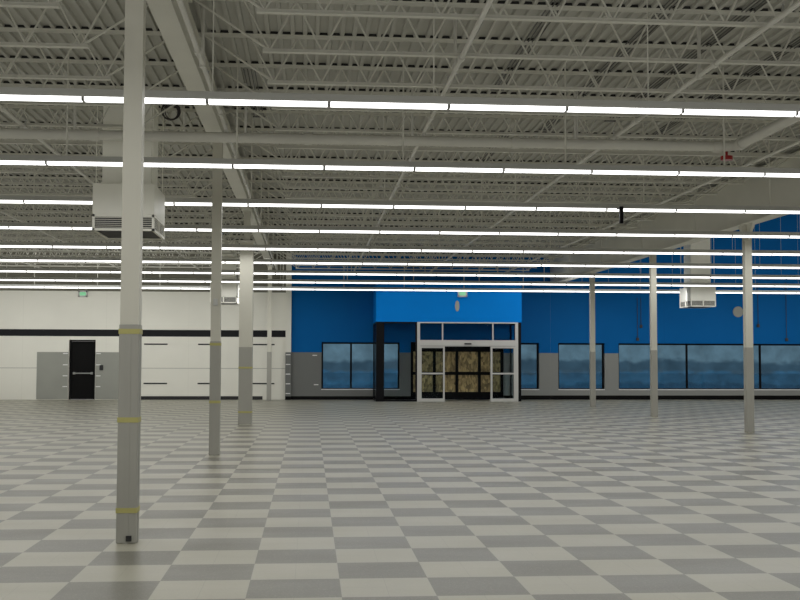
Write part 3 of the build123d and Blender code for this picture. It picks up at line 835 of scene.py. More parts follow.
LOOKS: dict[str, tuple] = {
    "floor": (FloorTile("floor_tile"), "floor_slab"),
    "bulkhead": (Paint("bulkhead_paint", (0.001, 0.178, 0.58), 0.6, blotch=0.03, gloss=0.05),
                 "vestibule_bulkhead"),
    "black_frame": (Paint("black_coated_aluminium", (0.007, 0.007, 0.008), 0.45, grain=0.03,
                          gloss=0.08),
                    "window_frames", "vestibule_front_frame", "vestibule_side_frames",
                    "outer_entrance_frame"),
    "white_frame": (Paint("white_coated_aluminium", (0.50, 0.495, 0.47), 0.35, grain=0.03),
                    "entrance_frame", "side_lites", "sliding_leaf_left", "sliding_leaf_right"),
    "sill": (Paint("white_sill_board", (0.76, 0.76, 0.74), 0.35), "window_sills"),
    "door": (Paint("black_door_paint", BASE_BLACK, grain=0.03, gloss=0.12),
             "exit_door_frame", "exit_door"),
    "steel": (Paint("brushed_steel", (0.55, 0.55, 0.54), 0.35, 1.0, grain_scale=200.0),
              "exit_push_bar"),
    "cream": (Paint("cream_steel_paint", CREAM, blotch=0.04),
              "girder_haunches", "girders", "joists_left_bay", "joists_middle_bay",
              "joists_high_bay", "light_hangers"),
    "column": (Paint("column_paint", COLUMN_CREAM, blotch=0.04), "columns"),
    "cover": (Paint("grey_column_cover", COVER_GREY, 0.45, blotch=0.06), "column_covers"),
    "boxing": (Paint("boxing_paint", COLUMN_CREAM, blotch=0.04,
                     bands=(Band(0, 1.8, COVER_GREY),)), "column_boxing"),
    "deck": (Paint("deck_paint", (0.43, 0.425, 0.38), 0.6, blotch=0.08, blotch_scale=0.8),
             "roof_deck"),
    "pipe": (Paint("pipe_paint", (0.60, 0.59, 0.53), 0.4),
             "sprinkler_branches", "sprinkler_main", "sprinkler_elbow"),
    "duct": (Paint("duct_paint", (0.92, 0.91, 0.82)), "air_drops"),
    # Mid grey on the white light housings: painted shade; the column's control box wears it too.
    "housing": (Paint("light_housing_shade_grey", (0.50, 0.50, 0.47), 0.4), "strip_light_rows"),
    # Near black for dark plastic parts, and painted shade where it fills the deck flutes, the air
    # drops' cores and the header's groove.
    "dark_gap": (Paint("dark_plastic_and_shade", (0.03, 0.03, 0.03), 0.6),),
    "lens_cap": (Paint("grey_lens_cap", (0.20, 0.20, 0.19)),),
    "cable": (Paint("dark_cable_jacket", (0.05, 0.045, 0.045)),),
    "conduit": (Paint("grey_conduit", (0.13, 0.13, 0.12)),),
    "red": (Paint("red_bell_enamel", (0.30, 0.02, 0.02), 0.3),),
    "tape": (Paint("yellow_tape", (0.41, 0.38, 0.14)),),
    "step_wall": (Paint("step_wall_paint", (0.58, 0.57, 0.51), 0.55, blotch=0.06), "step_wall"),
    "panel": (Paint("grey_wall_panel", (0.285, 0.29, 0.255)),),
    "membrane": (Membrane("roof_membrane"), "roof_membrane"),
    "board": (StrandBoard("strand_board"), "entrance_boards"),
    # Window panes with bands of painted outdoor light and shade, darker low down.
    "window_glass": (Glass("window_glass", (0.145, 0.27, 0.38), 0.3, 1.3, (
        Band(0, 1.50, (0.055, 0.12, 0.19)), Band(0, 1.05, (0.045, 0.17, 0.33)),
        Band(0, 0.62, (0.026, 0.10, 0.20)))), "window_glass"),
    "clear_glass": (Glass("clear_glass", (0.86, 0.92, 0.94), 0.12, 1.08),
                    "vestibule_glass", "transom_glass", "side_lite_glass",
                    "sliding_leaf_left_glass", "sliding_leaf_right_glass"),
    "lens": (LitPanel("lit_lens", (1.0, 1.0, 0.98), 2.6),),
    "sign": (LitPanel("lit_sign", (0.22, 0.58, 0.32), 0.30), "exit_signs")}


def dress_frame() -> Paints:
    """Builds every finish once and gives each CAD node its own.

    Returns:
        The finishes by their short names.
    """
    paints = {}
    for key, (finish, *nodes) in (LOOKS | wall_looks()).items():
        paints[key] = finish.build()
        for node in nodes:
            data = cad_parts[node].data
            data.materials.clear()
            data.materials.append(paints[key])
    return paints


@dataclass(frozen=True)
class Assembly:
    """What every sub-assembly has."""

    paints: Paints

    def build(self) -> None:
        """Builds the pieces."""
        raise NotImplementedError


@dataclass(frozen=True)
class RoofDeck(Assembly):
    """Ribbed steel deck over the joists, with its narrow flats down."""

    pitch: float = 0.1524
    low_flat: float = 0.045
    slope: float = 0.010
    rib_height: float = 0.036

    def outline(self, deck: Box) -> list[Vector]:
        """Section of one deck at the near end.

        Args:
            deck: Box of the deck.

        Returns:
            Corners of the section.
        """
        (left, _, bottom), (right, _, top) = deck
        rib_end = self.pitch - self.low_flat
        rib = ((0, 0), (self.slope, self.rib_height), (rib_end - self.slope, self.rib_height),
               (rib_end, 0))
        corners = [(right, top), (left, top), (left, bottom)]
        for number in range(int((right - left) / self.pitch)):
            start = left + number * self.pitch + self.low_flat
            corners += [(start + shift, bottom + height) for shift, height in rib]
        corners.append((right, bottom))
        return [Vector((x, HALL.low.y, z)) for x, z in corners]

    def build(self) -> None:
        """Builds both decks."""
        shape = Shape()
        for deck in solids("roof_deck"):
            shape.prism(self.outline(deck), (0, deck.size.y, 0))
        shape.piece("ribbed_roof_deck", self.paints["deck"], replaces=["roof_deck"],
                    slot="deck_steel")


@dataclass(frozen=True)
class OpenWebJoists(Assembly):
    """Joists with double angle chords, a zigzag of round bars and end seats."""

    web_pitch: float = 0.585
    end_setback: float = 1.02
    chord_width: float = 0.078
    chord_leg: float = 0.040
    chord_gap: float = 0.024
    chord_skin: float = 0.006
    web_radius: float = 0.0115
    end_bar_radius: float = 0.014
    seat_length: float = 0.16
    seat_height: float = 0.064
    # Dark strips of painted shade in the deck flutes over the top chords.
    shade_strip_inset: float = 0.25
    shade_strip_width: float = 0.06
    shade_strip_gap: float = 0.0005
    shade_strip_height: float = 0.0355

    def chord(self, shape: Shape, left: float, right: float, flat: float, way: int) -> None:
        """Adds a chord of two angles as one section.

        Args:
            shape: Joist under construction.
            left: Left end.
            right: Right end.
            flat: Height of the outer flat face.
            way: 1 if the legs point up and -1 if they point down.
        """
        half, gap, skin = self.chord_width / 2, self.chord_gap / 2, self.chord_skin
        shape.bar([(y, flat + way * z) for y, z in (
            (half, 0), (half, skin), (gap + skin, skin), (gap + skin, self.chord_leg),
            (gap, self.chord_leg), (gap, skin))], left, right)

    def joist(self, bay: Box) -> Shape:
        """One joist at y = 0.

        Args:
            bay: Box of the bay's joists.

        Returns:
            Shape of the joist.
        """
        shape = Shape()
        (left, _, bottom), (right, _, top) = bay
        low_left, low_right = left + self.end_setback, right - self.end_setback
        self.chord(shape, left, right, top, -1)
        self.chord(shape, low_left - self.seat_length / 2, low_right + self.seat_length / 2,
                   bottom, 1)
        count = round((low_right - low_left) / self.web_pitch)
        pitch = (low_right - low_left) / count
        foot, crown = bottom + self.chord_leg / 2, top - self.chord_leg / 2
        feet = [Vector((low_left + step * pitch, 0, foot)) for step in range(count + 1)]
        for first, second in zip(feet, feet[1:]):
            peak = Vector(((first.x + second.x) / 2, 0, crown))
            shape.rod(first, peak, self.web_radius, capped=False)
            shape.rod(peak, second, self.web_radius, capped=False)
        for end, foot_point, way in ((left, feet[0], 1), (right, feet[-1], -1)):
            inner, side = end + way * self.seat_length, self.chord_width / 2
            shape.rod(foot_point, (inner, 0, crown), self.end_bar_radius, capped=False)
            shape.rod(foot_point, (foot_point.x - way * self.web_pitch / 2, 0, crown),
                      self.web_radius, capped=False)
            shape.box((min(end, inner), -side, top - self.seat_height),
                      (max(end, inner), side, top - self.chord_skin))
        return shape

    def build(self) -> None:
        """Builds the joists of the three bays, and dark strips of painted shade over their top
        chords.
        """
        for bay in ("left", "middle", "high"):
            node = f"joists_{bay}_bay"
            box, shape, shade_strips = node_box(node), Shape(), Shape()
            rows = sorted({round(part.middle.y, 4) for part in solids(node)})
            shape.stamp(self.joist(box), [(0, y, 0) for y in rows])
            shape.piece(f"open_web_joists_{bay}_bay", self.paints["cream"], replaces=[node],
                        slot="cream_steel")
            # Dark strips over each top chord: painted shade in the deck flutes that the chord
            # hides from the lights below.
            left, right, top = (box.low.x + self.shade_strip_inset, box.high.x - self.shade_strip_inset,
                                box.high.z)
            for y in rows:
                shade_strips.box((left, y - self.shade_strip_width / 2, top + self.shade_strip_gap),
                             (right, y + self.shade_strip_width / 2, top + self.shade_strip_height))
            shade_strips.piece(f"rib_shade_strips_{bay}_bay", self.paints["dark_gap"],
                           slot="black_frame")


@dataclass(frozen=True)
class StripLights(Assembly):
    """Rows of strip lights: a folded housing over 4 foot lenses, hung on rods."""

    lens_length: float = 1.195
    lens_gap: float = 0.030
    lens_start: float = -0.131
    lens_edge: float = 0.016
    lens_corner: float = 0.3
    lens_inset: float = 0.006
    lens_height: float = 0.042
    housing_lap: float = 0.004
    housing_skirt: float = 0.020
    housing_taper: float = 0.012
    rod_radius: float = 0.012
    near_rod_radius: float = 0.007
    near_depth: float = 6.0
    wire_radius: float = 0.004
    rod_start: float = -0.48
    rod_pitch: float = 2.19
    cap_inset: float = 0.004

    def rods(self, shape: Shape, row: Box) -> None:
        """Adds the rods of one row, which are wires in the high bay.

        Args:
            shape: Shape to add to.
            row: Box of the row.
        """
        near = row.middle.y < HALL.low.y + self.near_depth
        for x in steps(row, self.rod_start, self.rod_pitch):
            bay, radius = "middle", self.near_rod_radius if near else self.rod_radius
            if x >= RIGHT_LINE:
                bay, radius = "high", self.wire_radius
            if min(abs(x - RIGHT_LINE), abs(x - LEFT_LINE)) > LINE_ROOM:
                deck = node_box(f"joists_{bay}_bay").high.z
                shape.rod((x, row.middle.y, row.high.z), (x, row.middle.y, deck), radius)

    def build(self) -> None:
        """Builds housings, lenses, end caps and rods."""
        housing, lens, caps, rods = (Shape() for _ in range(4))
        for row in solids("strip_light_rows"):
            (low, high), y, half = row, row.middle.y, row.size.y / 2
            top, side, edge = low.z + self.lens_height, half - self.lens_inset, self.lens_edge
            corner = self.lens_corner * edge
            housing.bar([(half, top - self.housing_lap), (half, top + self.housing_skirt),
                         (half - self.housing_taper, high.z)], low.x, high.x, y)
            stops = [low.x, *steps(row, self.lens_start, self.lens_length), high.x]
            gap, inset = self.lens_gap / 2, self.cap_inset
            for left, right in zip(stops, stops[1:]):
                lens.bar([(side - edge, low.z), (side - corner, low.z + corner),
                          (side, low.z + edge), (side, top)], left + gap, right - gap, y)
            for stop in stops[1:-1]:
                caps.box((stop - gap, y - side + inset, low.z + inset),
                         (stop + gap, y + side - inset, top))
            self.rods(rods, row)
        # The housings wear the grey of painted shade.
        housing.piece("light_housings", self.paints["housing"], slot="light")
        lens.piece("light_lenses", self.paints["lens"], replaces=["strip_light_rows"],
                   slot="light")
        caps.piece("lens_end_caps", self.paints["lens_cap"], slot="light")
        rods.piece("light_rods", self.paints["cream"], replaces=["light_hangers"],
                   slot="cream_steel")


@dataclass(frozen=True)
class ColumnTrim(Assembly):
    """Column covers with a middle strip, cap plates, boxing cap, tape bands and a control box."""

    strip_width: float = 0.035
    strip_proud: float = 0.003
    strip_stop: float = 0.06
    edge: float = 0.008
    small_edge: float = 0.004
    cap_side: float = 0.23
    cap_thickness: float = 0.016
    boxing_cap_proud: float = 0.02
    boxing_cap_height: float = 0.06
    tape_height: float = 0.042
    tape_proud: float = 0.0035
    tape_heights: tuple[tuple[float, ...], ...] = ((1.74, 1.01, 0.27), (1.75, 0.84), (1.32, 0.29))
    control_size: tuple[float, float, float] = (0.07, 0.035, 0.11)
    control_height: float = 2.36
    outlet_size: tuple[float, float, float] = (0.045, 0.012, 0.045)
    outlet_height: float = 0.02

    def covers(self) -> None:
        """Builds the covers of the column feet."""
        shape, half, proud = Shape(), self.strip_width / 2, self.strip_proud
        for box in solids("column_covers"):
            (low, high), (x, y, _) = box, box.middle
            shape.box(low, high, self.edge)
            top = high.z - self.strip_stop
            shape.box((x - half, low.y - proud, low.z), (x + half, high.y + proud, top))
            shape.box((low.x - proud, y - half, low.z), (high.x + proud, y + half, top))
        shape.piece("column_cover_sleeves", self.paints["cover"], replaces=["column_covers"],
                    slot="grey_cover")

    def caps(self) -> None:
        """Builds the plates between columns and girders, and the cap of the boxing."""
        shape = Shape()
        for box in solids("columns"):
            shape.collar(Box(box.middle, box.middle), self.cap_side / 2,
                         box.high.z - self.cap_thickness, box.high.z)
        boxing = node_box("column_boxing")
        shape.collar(boxing, self.boxing_cap_proud, boxing.high.z - self.boxing_cap_height,
                     boxing.high.z, self.small_edge)
        shape.piece("column_caps", self.paints["cream"], slot="cream_steel")

    def left_line(self) -> list[Box]:
        """Finds the feet of the left column line.

        Returns:
            Boxes of the feet, from the near end.
        """
        feet = [foot for foot in (*solids("column_covers"), node_box("column_boxing"))
                if abs(foot.middle.x - LEFT_LINE) < LINE_ROOM]
        return sorted(feet, key=lambda foot: foot.low.y)

    def build(self) -> None:
        """Builds the trim, with tape on the left line and boxes on its first two columns."""
        self.covers()
        self.caps()
        tape, control, outlet, half = Shape(), Shape(), Shape(), self.tape_height / 2
        feet = self.left_line()
        for foot, heights in zip(feet, self.tape_heights):
            for height in heights:
                tape.collar(foot, self.tape_proud, FLOOR + height - half, FLOOR + height + half)
        tape.piece("tape_bands", self.paints["tape"])
        column = min(solids("columns"), key=lambda box: (box.low - feet[1].low).length)
        control.mount(column.middle.x - self.control_size[0] / 2, self.control_height,
                      self.control_size, column.low.y, self.small_edge)
        control.piece("column_control_box", self.paints["housing"])
        outlet.mount(feet[0].middle.x, self.outlet_height, self.outlet_size, feet[0].low.y)
        outlet.piece("column_outlet", self.paints["dark_gap"])


@dataclass(frozen=True)
class AirDrops(Assembly):
    """Supply boxes with louvred bands on four sides, under flanged ducts."""

    duct_half: float = 0.36
    box_height: float = 0.70
    band_height: float = 0.24
    rim: float = 0.035
    louvre_count: int = 6
    louvre_thickness: float = 0.007
    louvre_inset: float = 0.012
    # Dark core of painted shade behind the louvres.
    shade_core_inset: float = 0.03
    shade_core_foot: float = 0.012
    edge: float = 0.006
    flange_proud: float = 0.014
    flange_height: float = 0.03
    flange_room: float = 0.1
    flange_heights: tuple[float, ...] = (4.12, 4.52, 4.95, 5.35, 6.4, 7.4)
    rod_radius: float = 0.007
    rod_inset: float = 0.04

    def band(self, white: Shape, dark: Shape, box: Box) -> None:
        """Adds the louvred band at the foot of a box.

        Args:
            white: Shape of the painted parts.
            dark: Shape of the dark inside, which is painted shade behind the louvres.
            box: Box of the band.
        """
        (low, high), rim = box, self.rim
        # Dark core behind the louvres: painted shade inside the box.
        dark.collar(box, -self.shade_core_inset, low.z + self.shade_core_foot, high.z)
        xs, ys = ((first, (first + last - rim) / 2, last - rim)
                  for first, last in ((low.x, high.x), (low.y, high.y)))
        posts = [(x, y) for x in xs for y in ys if (x, y) != (xs[1], ys[1])]
        for x, y in posts:
            white.box((x, y, low.z), (x + rim, y + rim, high.z))
        for z in (low.z, high.z - rim):
            for y in ys[::2]:
                white.box((low.x, y, z), (high.x, y + rim, z + rim))
            for x in xs[::2]:
                white.box((x, low.y, z), (x + rim, high.y, z + rim))
        step = (high.z - low.z - 2 * rim) / self.louvre_count
        for row in range(self.louvre_count):
            z = low.z + rim + (row + 0.5) * step
            white.collar(box, -self.louvre_inset, z, z + self.louvre_thickness)

    def build(self) -> None:
        """Builds every drop."""
        white, dark = Shape(), Shape()
        for drop in solids("air_drops"):
            low, high = drop
            top, band_top = low.z + self.box_height, low.z + self.band_height
            white.box((low.x, low.y, band_top), (high.x, high.y, top), self.edge)
            self.band(white, dark, Box(low, Vector((high.x, high.y, band_top))))
            axis = Box(drop.middle, drop.middle)
            white.collar(axis, self.duct_half, top, high.z)
            for z in (FLOOR + height for height in self.flange_heights):
                if z < high.z - self.flange_room:
                    white.collar(axis, self.duct_half + self.flange_proud, z,
                                 z + self.flange_height)
            for x in (low.x + self.rod_inset, high.x - self.rod_inset):
                for y in (low.y + self.rod_inset, high.y - self.rod_inset):
                    white.rod((x, y, top), (x, y, high.z), self.rod_radius)
        white.piece("air_drop_boxes", self.paints["duct"], replaces=["air_drops"],
                    slot="duct_paint")
        dark.piece("air_drop_shade_cores", self.paints["dark_gap"], slot="duct_paint")


@dataclass(frozen=True)
class PipeTrim(Assembly):
    """Couplings, ring hangers, sprinkler heads and upright pipes."""

    pitch: float = 3.05
    coupling_proud: float = 0.015
    coupling_length: float = 0.085
    main_proud: float = 0.016
    main_length: float = 0.11
    strap_proud: float = 0.018
    strap_width: float = 0.022
    strap_wall: float = 0.004
    riser_radius: float = 0.021
    riser_sides: int = 10
    riser_row: float = -12.12
    riser_seat: float = 0.01
    socket_ends: tuple[float, float] = (0.012, 0.05)
    main_riser_start: float = 0.02
    main_riser_pitch: float = 2.43
    head_shift: float = 0.6
    head_height: float = 0.07
    head_radius: float = 0.010
    plate_radius: float = 0.022
    plate_thickness: float = 0.004
    least_pipe: float = 5.0
    longest_rod: float = 1.0
    smooth_angle: float = 40.0

    def pipes(self) -> list[Box]:
        """Boxes of the branch pipes without their rods."""
        return [box for box in solids("sprinkler_branches") if box.size.y > self.least_pipe]

    def branches(self) -> None:
        """Builds the fittings of the branch pipes."""
        couplings, straps, heads = Shape(), Shape(), Shape()
        rods = [box for box in solids("sprinkler_branches") if box.size.y < self.longest_rod]
        for pipe in self.pipes():
            (x, _, z), far, radius = pipe.middle, pipe.high.y, pipe.size.x / 2
            count = int(pipe.size.y / self.pitch)
            for step in range(1, count):
                couplings.sleeve(Vector((x, far - step * self.pitch, z)), 1,
                                 self.coupling_length, radius + self.coupling_proud,
                                 sides=12)
            for step in range(count):
                y = far - (step + self.head_shift) * self.pitch
                foot, plate = z + radius, z + radius + self.head_height
                heads.rod((x, y, foot), (x, y, plate), self.head_radius)
                heads.rod((x, y, plate), (x, y, plate + self.plate_thickness),
                          self.plate_radius, sides=8)
            for rod in rods:
                if rod.low.x < x < rod.high.x:
                    straps.ring((x, rod.middle.y, z), (0, 1, 0), radius + self.strap_proud,
                                self.strap_wall, self.strap_width)
        couplings.piece("branch_couplings", self.paints["pipe"], smooth_angle=self.smooth_angle)
        straps.piece("branch_straps", self.paints["cream"], smooth_angle=self.smooth_angle)
        heads.piece("sprinkler_heads", self.paints["steel"])

    def build(self) -> None:
        """Builds the fittings."""
        self.branches()
        couplings, risers = Shape(), Shape()
        deck = node_box("joists_middle_bay").high.z
        cross, near = (max(solids("sprinkler_main"), key=lambda box: box.size[axis])
                       for axis in (0, 1))
        for axis, pipe in enumerate((cross, near)):
            for step in range(int(pipe.size[axis] / self.pitch) + 1):
                centre = Vector((pipe.middle.x, pipe.middle.y, cross.middle.z))
                centre[axis] = pipe.high[axis] - step * self.pitch - self.main_length / 2
                couplings.sleeve(centre, axis, self.main_length,
                                 cross.size.y / 2 + self.main_proud, sides=16)
        couplings.piece("main_couplings", self.paints["pipe"], smooth_angle=self.smooth_angle)
        for pipe in self.pipes():
            x, y, radius = pipe.middle.x, self.riser_row, self.riser_radius
            if x < RIGHT_LINE:
                below, above = self.socket_ends
                risers.rod((x, y, pipe.high.z - self.riser_seat), (x, y, deck), radius,
                           self.riser_sides)
                risers.rod((x, y, pipe.low.z - below), (x, y, pipe.high.z + above),
                           radius + self.coupling_proud, self.riser_sides)
        for x in steps(cross, self.main_riser_start, self.main_riser_pitch):
            y = cross.middle.y
            if abs(x - LEFT_LINE) > LINE_ROOM:
                risers.rod((x, y, cross.high.z - self.riser_seat), (x, y, deck),
                           self.riser_radius, self.riser_sides)
        risers.piece("riser_pipes", self.paints["pipe"], smooth_angle=self.smooth_angle)


@dataclass(frozen=True)
class DeckConduits(Assembly):
    """Groups of grey conduits under the low deck, each group with a box at its far end."""

    radius: float = 0.008
    spacing: float = 0.050
    strands: int = 4
    box_half: float = 0.1
    box_depth: float = 0.05
    box_drop: float = 0.012
    runs: tuple[tuple[float, float, float], ...] = (
        (-1.15, -12.9, -8.6), (0.15, -13.6, -5.8), (1.10, -13.4, -6.6), (2.20, -12.6, -4.9),
        (-0.45, -5.2, -2.4), (-4.75, -9.4, -6.4))

    def build(self) -> None:
        """Builds the groups."""
        shape = Shape()
        deck = node_box("joists_middle_bay").high.z
        z = deck - self.radius
        for x, start, end in self.runs:
            for strand in range(self.strands):
                place = x + (strand - (self.strands - 1) / 2) * self.spacing
                shape.rod((place, start, z), (place, end, z), self.radius)
            shape.box((x - self.box_half, end, z - self.box_drop),
                      (x + self.box_half, end + self.box_depth, deck))
        shape.piece("deck_cables", self.paints["conduit"])


@dataclass(frozen=True)
class WallFittings(Assembly):
    """Rails, panels, clips, reader, hanging cables and plates on the front wall."""

    base_height: float = 0.13
    base_gap: float = 0.85
    base_foot: float = 0.002
    rail_size: tuple[float, float, float] = (0.87, 0.012, 0.05)
    rail_starts: tuple[float, ...] = (-10.08, -8.08, -6.08)
    rail_heights: tuple[float, float] = (2.076, 0.605)
    panel_foot: float = 0.02
    panel_height: float = 1.77
    panel_left: float = -14.0
    panel_right: float = -10.96
    panel_depth: float = 0.012
    panel_edge: float = 0.002
    joint: float = 0.01
    clip_size: tuple[float, float, float] = (0.17, 0.016, 0.032)
    clip_room: float = 0.03
    clip_heights: tuple[float, ...] = (1.70, 1.28, 0.87, 0.47)
    pilaster_clip_heights: tuple[float, ...] = (0.22, 0.585, 0.95, 1.315, 1.68)
    pilaster_clip_inset: float = 0.02
    dado_clips: tuple[tuple[float, float], ...] = ((-3.78, 1.66), (-3.72, 0.55))
    reader_place: tuple[float, float] = (-11.70, 1.10)
    reader_size: tuple[float, float, float] = (0.13, 0.05, 0.19)
    soft_edge: float = 0.008
    disc_place: tuple[float, float] = (12.83, 3.43)
    disc_radius: float = 0.21
    disc_depth: float = 0.03
    oval_place: tuple[float, float] = (1.49, 3.49)
    oval_size: tuple[float, float, float] = (0.08, 0.015, 0.20)
    cable_runs: tuple[tuple[float, float, float], ...] = (
        (8.80, 2.40, 3.95), (8.94, 2.9, 3.95), (13.63, 2.95, 4.6), (14.77, 2.41, 4.6))
    cable_radius: float = 0.010
    cable_box: tuple[float, float, float] = (0.10, 0.06, 0.12)
    strobe_place: tuple[float, float] = (-1.32, 3.22)
    strobe_size: tuple[float, float, float] = (0.10, 0.09, 0.40)
    strobe_edge: float = 0.01

    def rails(self) -> None:
        """Builds the black rails, and the base board between the exit and the pilaster."""
        shape = Shape()
        length, depth, height = self.rail_size
        for start in self.rail_starts:
            for level in self.rail_heights:
                shape.mount(start, level - height / 2, (length, depth, height), WALL_INNER)
        left, right = self.panel_right + self.joint, node_box("pilaster").low.x - self.base_gap
        shape.mount(left, self.base_foot,
                    (right - left, depth, self.base_height - self.base_foot), WALL_INNER)
        shape.piece("wall_rails", self.paints["dark_gap"])

    def panels(self) -> None:
        """Builds the grey panels beside the exit and the white clips."""
        panels, clips, door = Shape(), Shape(), node_box("exit_door_frame")
        for left, right in ((self.panel_left, door.low.x - self.joint),
                            (door.high.x + self.joint, self.panel_right)):
            size = (right - left, self.panel_depth, self.panel_height - self.panel_foot)
            panels.mount(left, self.panel_foot, size, WALL_INNER, self.panel_edge)
        width, depth, height = self.clip_size
        for x in (door.low.x - width - self.clip_room, door.high.x + self.clip_room):
            for level in self.clip_heights:
                clips.mount(x, level, self.clip_size, WALL_INNER - self.panel_depth)
        for x, level in self.dado_clips:
            clips.mount(x, level, self.clip_size, WALL_INNER)
        pilaster, inset = node_box("pilaster"), self.pilaster_clip_inset
        for level in self.pilaster_clip_heights:
            clips.mount(pilaster.low.x + inset, level,
                        (pilaster.size.x - 2 * inset, depth, height), pilaster.low.y)
        panels.piece("wall_panels", self.paints["panel"])
        clips.piece("wall_clips", self.paints["sill"])

    def plates(self) -> None:
        """Builds the round plate, the oval plate, the reader and the strobe."""
        plates, dark, oval = Shape(), Shape(), Shape()
        x, z = self.disc_place
        plates.rod((x, WALL_INNER - self.disc_depth, FLOOR + z), (x, WALL_INNER, FLOOR + z),
                   self.disc_radius, sides=28)
        front, (width, depth, height) = node_box("vestibule_bulkhead").low.y, self.oval_size
        oval.rod((0, front - depth, 0), (0, front, 0), radius=1.0, sides=24)
        bmesh.ops.scale(oval.mesh, vec=(width, 1, height), verts=oval.mesh.verts)
        x, z = self.oval_place
        plates.stamp(oval, [(x, 0, FLOOR + z)])
        dark.mount(*self.reader_place, self.reader_size, WALL_INNER - self.panel_depth,
                   self.soft_edge)
        dark.mount(*self.strobe_place, self.strobe_size, WALL_INNER, self.strobe_edge)
        plates.piece("wall_plates", self.paints["panel"])
        dark.piece("wall_boxes", self.paints["dark_gap"])

    def build(self) -> None:
        """Builds the fittings, and the cables that hang down the blue wall to their boxes."""
        self.rails()
        self.panels()
        self.plates()
        shape, y = Shape(), WALL_INNER - 2 * self.cable_radius
        width, _, height = self.cable_box
        for x, low, high in self.cable_runs:
            shape.rod((x, y, FLOOR + low), (x, y, FLOOR + high), self.cable_radius)
            shape.mount(x - width / 2, low - height, self.cable_box, WALL_INNER, self.soft_edge)
        shape.piece("wall_cables", self.paints["cable"])


@dataclass(frozen=True)
class GlazingTrim(Assembly):
    """Dark gaskets around every pane, on both faces."""

    width: float = 0.009
    proud: float = 0.004
    panes: tuple[tuple[str, Body], ...] = (
        ("window_glass", Body.HALL), ("vestibule_glass", Body.HALL), ("transom_glass", Body.HALL),
        ("side_lite_glass", Body.HALL), ("sliding_leaf_left_glass", Body.LEFT_LEAF),
        ("sliding_leaf_right_glass", Body.RIGHT_LEAF))

    def gasket(self, shape: Shape, pane: Box) -> None:
        """Adds a gasket around one pane.

        Args:
            shape: Shape to add to.
            pane: Box of the pane.
        """
        thin = int(pane.size.y < pane.size.x)
        low, high = (corner.copy() for corner in pane)
        low[thin] -= self.proud
        high[thin] += self.proud
        for axis in (1 - thin, 2):
            first_end, last_start = high.copy(), low.copy()
            first_end[axis] = low[axis] + self.width
            last_start[axis] = high[axis] - self.width
            shape.box(low, first_end)
            shape.box(last_start, high)

    def build(self) -> None:
        """Builds the gaskets."""
        for node, body in self.panes:
            shape = Shape()
            for pane in solids(node):
                self.gasket(shape, pane)
            shape.piece(f"{node}_gaskets", self.paints["black_frame"], body)


@dataclass(frozen=True)
class EntranceTrim(Assembly):
    """Sensor, threshold, locks, sign rims and a dark strip of painted shade in the header's
    groove at the inner entrance.
    """

    sensor_size: tuple[float, float, float] = (0.26, 0.05, 0.055)
    sensor_lift: float = 0.07
    sensor_edge: float = 0.012
    groove_shade_lift: float = 0.012
    groove_shade_depth: float = 0.002
    groove_shade_height: float = 0.008
    threshold_height: float = 0.004
    threshold_inset: float = 0.01
    lock_size: tuple[float, float, float] = (0.035, 0.003, 0.11)
    lock_height: float = 1.0
    lock_inset: float = 0.03
    rim: float = 0.05
    rim_proud: float = 0.006

    def header(self) -> None:
        """Builds the sensor with a dark strip of painted shade for the groove, and the threshold.
        """
        sensor, plate = Shape(), Shape()
        header, lites = node_box("entrance_frame"), node_box("side_lites")
        left, right, front = lites.low.x, lites.high.x, header.low.y
        width, depth, height = self.sensor_size
        x, z = header.middle.x, lites.high.z + self.sensor_lift
        sensor.box((x - width / 2, front - depth, z), (x + width / 2, front, z + height),
                   self.sensor_edge, steps=2)
        # Dark strip along the header: painted shade of its groove.
        z = lites.high.z + self.groove_shade_lift
        sensor.box((left, front - self.groove_shade_depth, z), (right, front, z + self.groove_shade_height))
        sensor.piece("entrance_sensor", self.paints["dark_gap"])
        plate.box((left, front + self.threshold_inset, FLOOR),
                  (right, header.high.y, FLOOR + self.threshold_height))
        plate.piece("entrance_threshold", self.paints["steel"])

    def locks(self) -> None:
        """Builds the lock plates on the meeting stiles."""
        width, _, height = self.lock_size
        for side, body in (("left", Body.LEFT_LEAF), ("right", Body.RIGHT_LEAF)):
            leaf, shape = node_box(f"sliding_leaf_{side}"), Shape()
            stile = (leaf.high.x - self.lock_inset if side == "left"
                     else leaf.low.x + self.lock_inset)
            shape.mount(stile - width / 2, self.lock_height - height / 2, self.lock_size,
                        leaf.low.y)
            shape.piece(f"{side}_leaf_lock", self.paints["dark_gap"], body)

    def build(self) -> None:
        """Builds the trim, and the white rims of the exit signs."""
        self.header()
        self.locks()
        shape, proud, rim = Shape(), self.rim_proud, self.rim
        for low, high in solids("exit_signs"):
            for left, right, bottom, top in ((low.x - proud, low.x + rim, low.z, high.z),
                                             (high.x - rim, high.x + proud, low.z, high.z),
                                             (low.x, high.x, low.z - proud, low.z + rim),
                                             (low.x, high.x, high.z - rim, high.z + proud)):
                shape.box((left, low.y - proud, bottom), (right, high.y, top))
        shape.piece("exit_sign_rims", self.paints["white_frame"])


